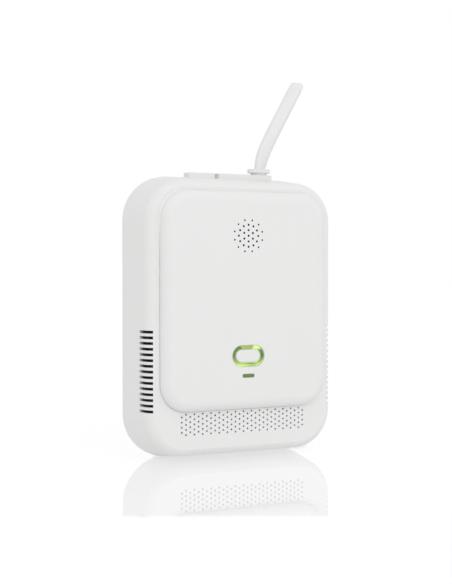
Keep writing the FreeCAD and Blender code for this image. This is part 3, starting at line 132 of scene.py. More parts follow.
class LightLooks(bpy.types.PropertyGroup):
    # The ring's colours: in the painted shade, in the painted highlights and at the painted pale
    # edges; the ring's glow carries them all.
    ring_deep: tint("Ring, deep", "Colour of the ring where it is darkest", (0.040, 0.110, 0.008))
    ring_bright: tint("Ring, bright", "Colour of the ring where it shines", (0.72, 0.90, 0.26))
    ring_edge: tint("Ring, edge", "Colour of the ring at its edges", (0.62, 0.80, 0.46))
    ring_glow: share("Ring glow", "Strength of the light that the ring gives", 0.22, 10.0)
    lens: tint("Status lens", "Colour of the small bar below the button", (0.125, 0.195, 0.036))


class CordSizes(bpy.types.PropertyGroup):
    width: length("Width", "Width of the flat cord", 6.2 * MM)
    thickness: length("Thickness", "Thickness of the flat cord", 3.4 * MM)
    real_length: length("Length", "Length of the cord from the case to the plug", 1.5)
    groove: length("Groove", "Depth of the dip between the two cores", 0.14 * MM)
    sheath: tint("Sheath", "Colour of the cord's sheath", (0.79, 0.79, 0.785))
    turn_points: IntProperty(name="Points per turn", description="Points in each turn of the coil",
                             min=12, default=16)
    turn_step: length("Turn step", "Distance between turns that lie side by side", 3.5 * MM)


class PlugSizes(bpy.types.PropertyGroup):
    body: tint("Body", "Colour of the plug and its strain relief", (0.79, 0.79, 0.785))
    rib_depth: length("Rib depth", "Depth of the plug's grip ribs", 0.45 * MM)
    rib_count: IntProperty(name="Ribs", description="Grip ribs on each broad side", min=2,
                           default=6)


class StageSizes(bpy.types.PropertyGroup):
    eye: place_of("Camera", "Where the camera stands", (-0.2422, -0.47365, 0.0843))
    yaw: angle("Yaw", "How far the camera turns to the right", 26.845)
    tilt: angle("Tilt", "How far the camera looks down", 1.0954)
    lens: FloatProperty(name="Lens", description="Focal length of the camera", unit="CAMERA",
                        default=71.9)
    daylight: share("Room light", "Strength of the even light from all sides", 0.92, 10.0)
    lean: FloatVectorProperty(
        name="Lean", description="How much more light comes from one side than from the other",
        subtype="XYZ", size=3, default=(0.03, -0.21, -0.095))
    key_place: place_of("Key lamp's place", "Where the large lamp hangs", (-0.3, -1.3, 1.25))
    key_width: length("Key lamp's width", "Width of the large lamp", 1.0)
    key_power: FloatProperty(name="Key lamp", description="Power of the large lamp in front",
                             unit="POWER", min=0.0, default=2.8)
    floor_glow: share("Floor glow", "Strength of the light that the white floor gives off",
                      1.07, 10.0)
    bounce: share("Bounce", "How much of the room's light the white floor throws back", 0.92)
    matt: share("Matt share", "How much of the floor takes shadows and doesn't glow", 0.25)
    mirror: share("Mirror", "How strongly the floor mirrors the alarm", 0.42)
    mirror_end: length("Mirror's end", "How far in front of the alarm its mirror image ends",
                       0.137)
    mirror_fade: length("Mirror's fade", "Over what distance the mirror image ends", 6 * MM)


LOOKS = (
    ("detector_case", CaseLooks),
    ("detector_lights", LightLooks),
    ("detector_cord", CordSizes),
    ("detector_plug", PlugSizes),
    ("detector_stage", StageSizes),
)


# ---- shader nodes ----------------------------------------------------------------------

class Value:
    """An output of a node.  Arithmetic on it adds Math nodes."""

    def __init__(self, shader, socket):
        self.shader = shader
        self.socket = socket

    def __add__(self, other):
        return self.shader.math("ADD", self, other)

    def __radd__(self, other):
        return self.shader.math("ADD", other, self)

    def __sub__(self, other):
        return self.shader.math("SUBTRACT", self, other)

    def __rsub__(self, other):
        return self.shader.math("SUBTRACT", other, self)

    def __mul__(self, other):
        return self.shader.math("MULTIPLY", self, other)

    def __rmul__(self, other):
        return self.shader.math("MULTIPLY", other, self)

    def __truediv__(self, other):
        return self.shader.math("DIVIDE", self, other)

    def __pow__(self, other):
        return self.shader.math("POWER", self, other)

    def __abs__(self):
        return self.shader.math("ABSOLUTE", self)

    def __gt__(self, other):
        return self.shader.math("GREATER_THAN", self, other)

    def __lt__(self, other):
        return self.shader.math("LESS_THAN", self, other)

    def clamped(self):
        """The value kept between 0 and 1."""
        return self.shader.math("MINIMUM", self.shader.math("MAXIMUM", self, 0.0), 1.0)

    def rising(self, start, span):
        """0 up to a start, and 1 from a span beyond it."""
        return ((self - start) / span).clamped()


class Shader:
    """The node tree of a material or of the world."""

    def __init__(self, owner):
        owner.use_nodes = True
        self.owner = owner
        self.tree = owner.node_tree
        self.tree.nodes.clear()

    def node(self, kind, settings=None, inputs=None, output=0):
        """Adds any node: its settings first, then the values or links of its sockets."""
        made = self.tree.nodes.new(kind)
        for name, setting in (settings or {}).items():
            if name == "stops":
                self.set_stops(made.color_ramp, setting)
            else:
                setattr(made, name, setting)
        for name, value in (inputs or {}).items():
            socket = self.socket(made.inputs, name)
            if isinstance(value, Value):
                self.tree.links.new(value.socket, socket)
            else:
                socket.default_value = value
        return Value(self, self.socket(made.outputs, output)) if made.outputs else made

    @staticmethod
    def socket(sockets, name):
        """A socket by its identifier, its name or its number."""
        named = [socket for socket in sockets if socket.identifier == name]
        return named[0] if named else sockets[name]

    @staticmethod
    def set_stops(ramp, stops):
        """Sets a ramp's stops, each a place and a grey level."""
        while len(ramp.elements) < len(stops):
            ramp.elements.new(1.0)
        for element, (place, level) in zip(ramp.elements, stops):
            element.position = place
            element.color = (level, level, level, 1.0)

    def math(self, operation, *values):
        """One Math node."""
        return self.node("ShaderNodeMath", {"operation": operation}, dict(enumerate(values)))

    def place(self):
        """The place on the piece, in metres."""
        return self.node("ShaderNodeTexCoord", output="Object")

    def along(self, place, axis):
        """One coordinate of a place."""
        return self.node("ShaderNodeSeparateXYZ", None, {"Vector": place}, output=axis)

    def stretched(self, place, scale):
        """A place for marks that run along the axis with the small scale."""
        return self.node("ShaderNodeMapping", None, {"Vector": place, "Scale": scale})

    def noise(self, place, size, detail=2.0):
        """Noise from 0 to 1 whose marks are about as large as size."""
        return self.node("ShaderNodeTexNoise", None,
                         {"Vector": place, "Scale": 1.0 / size, "Detail": detail})

    def cells(self, place, count, feature="F1"):
        """How far a place is into its cell, with so many cells in a metre."""
        return self.node("ShaderNodeTexVoronoi", {"feature": feature},
                         {"Vector": place, "Scale": count}, output="Distance")

    def waves(self, place, axis, pitch):
        """Waves from 0 to 1 along an axis."""
        turn = self.along(place, axis) * (FULL_TURN / pitch)
        return self.math("SINE", turn) * 0.5 + 0.5

    def mix(self, factor, first, second):
        """A colour between two colours."""
        return self.node("ShaderNodeMix", {"data_type": "RGBA"},
                         {"Factor_Float": factor, "A_Color": first, "B_Color": second},
                         output="Result_Color")

    def ramp(self, value, stops):
        """A grey level for a value from 0 to 1, by stops of place and level."""
        return self.node("ShaderNodeValToRGB", {"stops": stops}, {"Fac": value}, output="Color")

    def radius(self, first, second):
        """The length of two distances at right angles."""
        return (first * first + second * second) ** 0.5

    def bump(self, height, depth):
        """A bumped normal from heights from 0 to 1."""
        return self.node("ShaderNodeBump", None, {"Height": height, "Distance": depth},
                         output="Normal")

    def seen(self):
        """1 for what is seen, straight or through a reflection, and 0 for light on surfaces."""
        straight, mirrored, through = (
            self.node("ShaderNodeLightPath", output=name)
            for name in ("Is Camera Ray", "Is Glossy Ray", "Is Transmission Ray"))
        return (straight + mirrored + through).clamped()

    def finish(self, surface):
        """Ends the tree in its output."""
        owner = "World" if isinstance(self.owner, bpy.types.World) else "Material"
        self.node("ShaderNodeOutput" + owner, None, {"Surface": surface})


def rgba(colour, gain=1.0):
    """A colour with alpha, made lighter or darker by gain."""
    return (*(min(part * gain, 1.0) for part in colour), 1.0)


def material(name):
    """A new material and its shader."""
    made = bpy.data.materials.new(name)
    return made, Shader(made)


def principled(made, shader, **sockets):
    """Ends a material in a Principled shader with these sockets."""
    inputs = {name.replace("_", " "): value for name, value in sockets.items()}
    shader.finish(shader.node("ShaderNodeBsdfPrincipled", None, inputs))
    return made


# ---- finishes --------------------------------------------------------------------------

def moulding(name, colour, roughness, grain, depth, mottle, shade_mask=None, seam_light=None):
    """Moulded plastic: spark-eroded grain, faint flow marks and slightly uneven tone.

    Shade mask gives how much painted shade, in the hole-shade colour, darkens a place, and seam
    light how much painted light glows there."""
    case = bpy.context.scene.detector_case
    made, shader = material(name)
    place = shader.place()
    fine = shader.noise(place, grain, 3.0)
    broad = shader.noise(place, 18 * MM)
    flow = shader.noise(shader.stretched(place, (1.0, 1.0, 0.18)), 6 * MM)
    tone = shader.mix(broad * 0.6 + flow * 0.4, rgba(colour, 1.0 - mottle),
                      rgba(colour, 1.0 + mottle))
    sockets = {}
    # Painted shade on the walls of slots and holes, in the hole-shade colour.
    if shade_mask:
        tone = shader.mix(shade_mask(shader, place), tone, rgba(case.inside))
    # Painted light in the plate's top seam, lifting its shade.
    if seam_light:
        glow = shader.mix(seam_light(shader, place), rgba(colour, 0.0), rgba(colour))
        sockets = {"Emission_Color": glow, "Emission_Strength": case.seam_light}
    return principled(
        made, shader, Base_Color=tone,
        Roughness=roughness + 0.08 * (fine - 0.5) + 0.05 * (broad - 0.5), IOR=1.5,
        Normal=shader.bump(fine * 0.7 + flow * 0.3, depth), **sockets)


def pvc(name, colour, roughness=0.38):
    """Soft extruded PVC: a fine, uneven skin under a light gloss."""
    made, shader = material(name)
    place = shader.place()
    skin = shader.noise(place, 0.9 * MM, 3.0)
    broad = shader.noise(place, 12 * MM)
    return principled(
        made, shader, Base_Color=shader.mix(broad, rgba(colour, 0.975), rgba(colour, 1.02)),
        Roughness=roughness + 0.12 * (skin - 0.5), IOR=1.52,
        Normal=shader.bump(skin * 0.6 + broad * 0.4, 0.02 * MM))


def metal(name, colour, roughness, brush=(1.0, 1.0, 1.0)):
    """Plated or drawn metal, brushed along the axis with the small scale."""
    made, shader = material(name)
    place = shader.place()
    lines = shader.noise(shader.stretched(place, brush), 0.4 * MM, 4.0)
    grime = shader.noise(place, 4 * MM)
    return principled(
        made, shader, Base_Color=shader.mix(grime, rgba(colour, 0.9), rgba(colour)), Metallic=1.0,
        Roughness=roughness + 0.2 * (lines - 0.5), Normal=shader.bump(lines, 0.008 * MM))


def woven(name, thread, gap, pitch):
    """A fine woven mesh: over-and-under threads with dark holes."""
    made, shader = material(name)
    place = shader.place()
    cloth = shader.math("MAXIMUM", *(shader.waves(place, axis, pitch) for axis in "XZ"))
    wires = shader.ramp(cloth, ((0.45, 0.0), (0.75, 1.0)))
    return principled(
        made, shader, Base_Color=shader.mix(wires, rgba(gap), rgba(thread)), Roughness=0.6,
        Normal=shader.bump(cloth, 0.1 * MM))


def clear_ring(name, looks):
    """Clear green plastic that carries light, with painted highlights and shade in turns round it,
    painted pale edges and a painted dark line low on the band; its glow carries the painted pattern
    too.
    """
    made, shader = material(name)
    place = shader.place()
    low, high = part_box("button_light_ring")
    half_height = (high.z - low.z) / 2 - RING_FLANGE
    core = (high.x - low.x) / 2 - RING_FLANGE - half_height
    across = shader.along(place, "X") - (low.x + high.x) / 2
    up = shader.along(place, "Z") - (low.z + high.z) / 2
    beside = shader.math("MAXIMUM", abs(across) - core, 0.0)
    inwards = (half_height - shader.radius(beside, up)) / RING_BAND
    turn = shader.math("ARCTAN2", up, across) / FULL_TURN + 0.5
    streak = shader.noise(place, 1.4 * MM)
    # Painted highlights and shade round the ring, and a painted dark line low on the band.
    bright = shader.ramp(turn + 0.03 * (streak - 0.5), PAINTED_RING_ROUND)
    line = shader.ramp(inwards, PAINTED_RING_LINE) * (up < 0.0)
    glow = shader.mix(bright * (1.0 - line), rgba(looks.ring_deep), rgba(looks.ring_bright))
    # Painted pale edges across the band.
    tone = shader.mix(shader.ramp(inwards, PAINTED_RING_EDGES), glow, rgba(looks.ring_edge))
    return principled(
        made, shader, Base_Color=tone, Roughness=0.15 + 0.1 * streak, IOR=1.49, Coat_Weight=0.15,
        Coat_Roughness=0.05, Emission_Color=tone, Emission_Strength=looks.ring_glow,
        Normal=shader.bump(streak, 0.03 * MM))


def status_bar(name, colour):
    """A tinted light pipe, moulded with fine upright ribs on its back."""
    made, shader = material(name)
    place = shader.place()
    ribs = shader.waves(place, "X", 1.1 * MM)
    haze = shader.noise(place, 0.7 * MM)
    return principled(
        made, shader,
        Base_Color=shader.mix(ribs * 0.5 + haze * 0.5, rgba(colour, 0.75), rgba(colour, 1.3)),
        Roughness=0.22 + 0.1 * haze, IOR=1.49, Coat_Weight=0.4, Coat_Roughness=0.1,
        Normal=shader.bump(haze, 0.01 * MM))


def lacquered_board(name, mask, copper):
    """A circuit board: solder mask over tracks, with tinned pads between them."""
    made, shader = material(name)
    place = shader.place()
    tracks = shader.cells(place, 260.0, "DISTANCE_TO_EDGE") < 0.045
    pads = shader.cells(place, 390.0) < 0.17
    film = shader.mix(tracks, rgba(mask), rgba(mask, 1.9))
    return principled(
        made, shader, Base_Color=shader.mix(pads, film, rgba(copper)), Metallic=pads,
        Roughness=0.3 + 0.15 * pads, Normal=shader.bump(tracks + pads, 0.03 * MM))


def glass_tube(name):
    """Clear glass with faint draw lines."""
    made, shader = material(name)
    lines = shader.noise(shader.stretched(shader.place(), (1.0, 1.0, 0.05)), 0.8 * MM)
    return principled(
        made, shader, Base_Color=(0.93, 0.97, 0.97, 1.0), Roughness=0.02 + 0.06 * lines, IOR=1.5,
        Transmission_Weight=1.0, Alpha=0.45, Normal=shader.bump(lines, 0.01 * MM))


def foam(name, colour):
    """Closed-cell foam with open cells cut at its faces, each cell's hollow painted darker as
    shade.
    """
    made, shader = material(name)
    cells = shader.cells(shader.place(), 2600.0)
    return principled(
        made, shader, Base_Color=shader.mix(cells, rgba(colour, 0.4), rgba(colour)), Roughness=0.9,
        Normal=shader.bump(cells, 0.1 * MM))


def sound_hole_shade(shader, place):
    """The painted shade on the walls of the sounder's holes: black in the middle, greyer at the
    rim.
    """
    low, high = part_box("sounder_mesh")
    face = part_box("front_plate")[0].y
    out = shader.radius(shader.along(place, "X") - (low.x + high.x) / 2,
                        shader.along(place, "Z") - (low.z + high.z) / 2)
    # Painted shade: full within the sounder's disc, fading outwards.
    inside = (out < (high.x - low.x) / 2) * (1.0 - out / (25 * MM))
    return shader.along(place, "Y").rising(face + 0.04 * MM, 0.2 * MM) * inside.clamped()


def seam_light_mask(shader, place):
    """How much painted light glows in the plate's seam, lifting its shade at the top so that the
    seam only shows as a line lower down.
    """
    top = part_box("front_plate")[1].z
    deep = shader.along(place, "Y") > FRONT_Y - 0.1 * MM
    return deep * shader.along(place, "Z").rising(top - 30 * MM, 24 * MM)


def slot_shade(shader, place):
    """The painted shade on the walls of the side slots: black from a little under the skin."""
    along, height = shader.along(place, "Y"), shader.along(place, "Z")
    out = abs(shader.along(place, "X")) - FLANK_AXIS.x
    back = along - FLANK_AXIS.y
    skin = FLANK_RADIUS + FLANK_DRAFT * shader.math("MAXIMUM", back, 0.0)
    deep = skin - shader.radius(out, shader.math("MINIMUM", back, 0.0))
    within = (along > FRONT_Y + 0.2 * MM) * (height > SLOTS_LOW) * (height < SLOTS_HIGH)
    return deep.rising(0.1 * MM, 2.4 * MM) * within


# The materials, filled by make_finishes.
FINISHES = {}


def make_finishes(scene):
    """Makes a material for each finish, by its slot, and for two shells by their nodes."""
    case, lights = scene.detector_case, scene.detector_lights
    skin = case.shell, case.roughness, case.grain, case.grain_depth, case.mottle
    FINISHES.update({
        # The housing gets painted shade in its slots; the plate gets painted shade in its sound
        # holes and painted light in its top seam.
        "front_housing": moulding("Housing_white", *skin, shade_mask=slot_shade),
        "front_plate": moulding("Plate_white", *skin, shade_mask=sound_hole_shade,
                                seam_light=seam_light_mask),
        "case_white": moulding("Moulding_white", *skin),
        "light_ring_green": clear_ring("Ring_green", lights),
        "lens_olive": status_bar("Lens_olive", lights.lens),
        "lamp_clear": moulding("Lamp_epoxy", (0.62, 0.72, 0.40), 0.15, 0.8 * MM, 0.004 * MM, 0.1),
        "component_black": moulding("Component_black", (0.022, 0.022, 0.024), 0.5, 0.2 * MM,
                                    0.012 * MM, 0.2),
        "brass_disc": metal("Disc_brass", (0.74, 0.55, 0.24), 0.28, (0.06, 1.0, 1.0)),
        "foam_black": foam("Gasket_foam", (0.045, 0.045, 0.045)),
        "mesh_dark": woven("Sounder_mesh_weave", (0.035, 0.035, 0.035), (0.004, 0.004, 0.004),
                           0.18 * MM),
        "mesh_grey": woven("Chin_mesh_weave", (0.30, 0.30, 0.30), (0.10, 0.10, 0.10), 0.22 * MM),
        "sensor_metal": metal("Can_metal", (0.62, 0.62, 0.60), 0.3, (1.0, 0.05, 1.0)),
        "filter_white": foam("Filter_membrane", (0.80, 0.80, 0.77)),
        "board_green": lacquered_board("Board_lacquer", (0.012, 0.10, 0.028), (0.62, 0.60, 0.55)),
        "component_tan": moulding("Component_ceramic", (0.42, 0.27, 0.14), 0.5, 0.2 * MM,
                                  0.008 * MM, 0.15),
        "component_blue": moulding("Component_blue", (0.02, 0.07, 0.28), 0.25, 0.6 * MM,
                                   0.01 * MM, 0.12),
        "fuse_glass": glass_tube("Fuse_glass"),
        "terminal_green": moulding("Terminal_green", (0.02, 0.16, 0.05), 0.35, 0.3 * MM,
                                   0.01 * MM, 0.08),
        "screw_steel": metal("Screw_zinc", (0.56, 0.57, 0.58), 0.32),
        "cord_white": pvc("Sheath_pvc", scene.detector_cord.sheath),
        "pin_brass": metal("Pin_nickel", (0.70, 0.69, 0.66), 0.2, (1.0, 0.04, 1.0)),
    })


# ---- meshes ----------------------------------------------------------------------------

def linked(name, bm):
    """Puts a mesh in the scene as an object."""
    mesh = bpy.data.meshes.new(name)
    bm.to_mesh(mesh)
    bm.free()
    made = bpy.data.objects.new(name, mesh)
    bpy.context.scene.collection.objects.link(made)
    return made


def piece(name, bm, finish, smooth=40.0):
    """Makes a piece of the detector of a mesh, with a finish; edges over smooth stay sharp."""
    bmesh.ops.recalc_face_normals(bm, faces=bm.faces)
    made = linked(name, bm)
    made.data.shade_smooth()
    made.data.set_sharp_from_angle(angle=math.radians(smooth))
    made.data.materials.append(finish)
    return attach(made, "root")


def circle(steps):
    """Points round a circle of radius 1."""
    return [(math.cos(FULL_TURN * i / steps), math.sin(FULL_TURN * i / steps))
            for i in range(steps)]


def bridge(bm, low, high):
    """Joins two closed rings of vertices."""
    for i in range(len(low)):
        j = (i + 1) % len(low)
        bm.faces.new((low[i], low[j], high[j], high[i]))


def loft(bm, rings):
    """Joins closed rings of points into a skin, with a face on each end."""
    rows = [[bm.verts.new(point) for point in ring] for ring in rings]
    for low, high in zip(rows, rows[1:]):
        bridge(bm, low, high)
    bm.faces.new(rows[0][::-1])
    bm.faces.new(rows[-1])


def turned(bm, profile, origin, axis, steps=32):
    """A turned shape from a profile of radius and height along an axis."""
    ahead = Vector(axis).normalized()
    side = ahead.orthogonal().normalized()
    over = ahead.cross(side)
    loft(bm, [[Vector(origin) + ahead * height + (side * c + over * s) * radius
               for c, s in circle(steps)] for radius, height in profile])


def superellipse(centre, half_width, half_height, power, steps=48):
    """A rounded rectangle across the Y axis; a high power makes it squarer."""
    return [centre + Vector((math.copysign(abs(c) ** (2 / power), c) * half_width, 0.0,
                             math.copysign(abs(s) ** (2 / power), s) * half_height))
            for c, s in circle(steps)]


def flat_section(width, thickness, groove, steps=7):
    """The flat cord's section: round edges, and a slight dip between the cores on both sides."""
    radius = thickness / 2
    reach = width / 2 - radius
    points = []
    for side in (1, -1):
        for i in range(steps):
            turn = math.pi * i / (steps - 1) - math.pi / 2
            points.append((side * (reach + radius * math.cos(turn)),
                           side * radius * math.sin(turn)))
        for across in (0.5, 0.0, -0.5):
            dip = groove * (1 - abs(across))
            points.append((side * reach * across, side * (radius - dip)))
    return points


def eased(step):
    """A step from 0 to 1 that starts and ends gently."""
    step = min(max(step, 0.0), 1.0)
    return step * step * (3 - 2 * step)


# ---- cord ------------------------------------------------------------------------------

# The cord's route from inside the collar over the back of the alarm and down to the coil, and
# from the coil to the plug, in millimetres.
OVER_ROUTE = (
    (20.1, 10.6, 129.6), (20.5, 10.6, 132.8), (21.9, 10.6, 138.2), (26.6, 10.6, 147.3),
    (35.2, 10.6, 162.6), (46.0, 20.1, 173.8), (55.8, 35.4, 176.6), (60.1, 51.6, 170.0),
    (58.2, 63.1, 156.3), (52.6, 67.3, 141.3), (48.6, 65.3, 124.6), (47.3, 58.4, 107.2),
    (48.3, 49.4, 89.9), (49.8, 39.8, 73.7), (50.8, 30.0, 58.6), (51.2, 22.7, 43.9),
    (51.2, 22.5, 28.3), (51.2, 30.1, 16.0), (52.6, 43.3, 9.3),
)
PLUG_ROUTE = (
    (42.6, 33.8, 3.1), (51.6, 39.3, 3.3), (61.5, 45.5, 5.4), (71.2, 54.5, 6.9), (73.6, 67.4, 6.9),
)

# Which way the cord's width points at places on its route.
TWISTS = (
    (OVER_ROUTE[0], (0.82, 0.57, 0.0)), (OVER_ROUTE[4], (0.892, -0.452, 0.0)),
    (OVER_ROUTE[15], (0.0, 1.0, 0.0)), (OVER_ROUTE[-1], (0.0, 0.0, 1.0)),
    (PLUG_ROUTE[0], (0.0, 0.0, 1.0)), (PLUG_ROUTE[-1], (1.0, 0.0, 0.0)),
)

# The coil, in millimetres and turns: it winds inwards on its upper layer and then outwards on its
# lower one, a little unevenly.
COIL_CENTRE = (21.5, 58.5)
COIL_START_RADIUS = 32.0
COIL_TURNS = 6.86
LAYER_HEIGHTS = (9.3, 3.1)
LAYER_CHANGE = 0.35
WOBBLE, WOBBLES_PER_TURN, WOBBLE_START = 0.22, 2.3 / 3, 0.7

# How finely the line is drawn between two points, and the share of the cord's width that is drawn.
LINE_STEPS = 8
DRAWN_WIDTH = 0.99


def coil_points(sizes):
    """The coil's turns: inwards on the upper layer, then outwards on the lower one."""
    upper, lower = LAYER_HEIGHTS
    pull = math.cos(math.pi / sizes.turn_points)
    points = []
    for i in range(round(COIL_TURNS * sizes.turn_points)):
        turns = i / sizes.turn_points
        turn = FULL_TURN * turns
        inward = COIL_TURNS / 2 - abs(turns - COIL_TURNS / 2)
        wobble = WOBBLE * math.sin(WOBBLES_PER_TURN * turn + WOBBLE_START) * min(1.0, inward)
        radius = (COIL_START_RADIUS - inward * sizes.turn_step / MM + wobble) / pull
        change = eased((turns - COIL_TURNS / 2) / LAYER_CHANGE + 0.5)
        points.append((COIL_CENTRE[0] + radius * math.cos(turn),
                       COIL_CENTRE[1] + radius * math.sin(turn), upper + (lower - upper) * change))
    return points


def cord_line(points):
    """The smooth line through the middle of the cord, in metres."""
    curve = bpy.data.curves.new("Cord_line", "CURVE")
    curve.dimensions = "3D"
    curve.resolution_u = LINE_STEPS
    spline = curve.splines.new("NURBS")
    spline.points.add(len(points) - 1)
    for target, point in zip(spline.points, points):
        target.co = (*(part * MM for part in point), 1.0)
    spline.order_u = 3
    spline.use_endpoint_u = True
    carrier = bpy.data.objects.new("Cord_line", curve)
    line = bpy.data.meshes.new_from_object(carrier)
    path = [vertex.co.copy() for vertex in line.vertices]
    bpy.data.objects.remove(carrier)
    bpy.data.curves.remove(curve)
    bpy.data.meshes.remove(line)
    return path


def nearest(path, point):
    """The number of the path's point that is nearest to a point in millimetres."""
    spot = Vector(point) * MM
    return min(range(len(path)), key=lambda i: (path[i] - spot).length)


def level_with(direction, tangent):
    """The part of a direction that is square to a tangent."""
    return (direction - tangent * direction.dot(tangent)).normalized()


def broad_directions(path, tangents, twists):
    """The direction of the cord's width all along, twisted gently from one place to the next."""
    keys = [(nearest(path, place), Vector(wanted)) for place, wanted in twists]
    broad, found = keys[0][1], []
    for tangent in tangents:
        broad = level_with(broad, tangent)
        found.append(broad)
    for (start, _), (end, wanted) in zip(keys, keys[1:]):
        aim = level_with(wanted, tangents[end])
        turn = math.atan2(tangents[end].dot(found[end].cross(aim)), found[end].dot(aim))
        for i in range(start, len(path)):
            step = eased((i - start) / (end - start))
            found[i] = Matrix.Rotation(turn * step, 3, tangents[i]) @ found[i]
    return found


def sweep(bm, path, twists, section):
    """Draws a section along a path, with its width turned as the twists say."""
    last = len(path) - 1
    tangents = [(path[min(i + 1, last)] - path[max(i - 1, 0)]).normalized()
                for i in range(last + 1)]
    rings = []
    for point, tangent, broad in zip(path, tangents, broad_directions(path, tangents, twists)):
        thick = tangent.cross(broad)
        rings.append([point + broad * x + thick * y for x, y in section])
    loft(bm, rings)


# ---- plug and screws -------------------------------------------------------------------

# The plug's body along its length: a share of the length, shares of its half width and half
# height, and how square it is.  The grip ribs lie between its neck and its shoulders, where the
# width and the height grow by curves, and the height is full sooner than the width.
PLUG_NECK = ((0.0, 0.27, 0.60, 2.4), (0.015, 0.29, 0.63, 2.4), (0.05, 0.32, 0.66, 2.6))
PLUG_SHOULDERS = (
    (0.52, 0.985, 1.0, 4.2), (0.60, 1.0, 1.0, 4.6), (0.80, 1.0, 1.0, 5.0), (0.955, 1.0, 1.0, 5.0),
    (0.985, 0.985, 0.96, 5.0), (1.0, 0.95, 0.90, 5.0),
)
RIBS_START, RIBS_REACH, RIBS_POWER = 0.10, 0.38, 3.2
SLOPE_START, SLOPE_REACH = 0.05, 0.47
WIDE_START, WIDE_GROWTH, WIDE_POWER = 0.32, 0.66, 1.1
TALL_START, TALL_GROWTH, TALL_POWER, TALL_SOONER = 0.66, 0.34, 0.9, 1.2

# The strain relief: the steps along it and the one from which it has no more grooves, its radius
# at the cord, the depth of the grooves, and how far it goes into the plug.
RELIEF_STEPS, RELIEF_PLAIN_FROM = 24, 22
RELIEF_NECK, RELIEF_GROOVE, RELIEF_ROOT = 3.25 * MM, 0.55 * MM, 0.8 * MM

# The pins and their sleeves: shares of the pin's radius, how deep they go into the plug, their
# bevels, and the round tip.
PIN_CORE, SLEEVE_BORE, PIN_EDGE = 0.75, 0.76, 0.97
PIN_ROOT, SLEEVE_ROOT = 2 * MM, 1 * MM
PIN_BEVEL, SLEEVE_BEVEL = 0.2 * MM, 0.25 * MM
TIP_STEPS, TIP_FLAT = 8, 0.1 * MM

# The case screws: the head's shares of its radius with their depths, its cross recess, and the
# thread with its tip.
HEAD_RADIUS, HEAD_THICK = 2.8 * MM, 2.0 * MM
HEAD_LEVELS = ((1.0, HEAD_THICK), (1.0, 0.7 * MM), (0.93, 0.25 * MM), (0.78, 0.0))
CROSS_ARM, CROSS_HALF_SLOT, CROSS_FLOOR, CROSS_DEPTH = 0.62, 0.13, 0.7, 1.1 * MM
THREAD_CREST, THREAD_ROOT, THREAD_STEPS = 1.5 * MM, 1.2 * MM, 21
POINT_RADIUS, POINT_LENGTH = 0.2 * MM, 1.2 * MM


def plug_stations(rib_count, rib_depth):
    """The plug's body along its length, with a groove on both sides of each rib.

    The ribs' depth is a share of the body's half height here."""
    ribs = []
    for i in range(2 * rib_count + 1):
        along = RIBS_START + RIBS_REACH * i / (2 * rib_count)
        rise = (along - SLOPE_START) / SLOPE_REACH
        groove = 0.0 if i % 2 else rib_depth
        wide = WIDE_START + WIDE_GROWTH * rise ** WIDE_POWER
        tall = TALL_START + TALL_GROWTH * min(1.0, rise * TALL_SOONER) ** TALL_POWER
        ribs.append((along, wide, tall - groove, RIBS_POWER))
    return (*PLUG_NECK, *ribs, *PLUG_SHOULDERS)


# ---- operators -------------------------------------------------------------------------

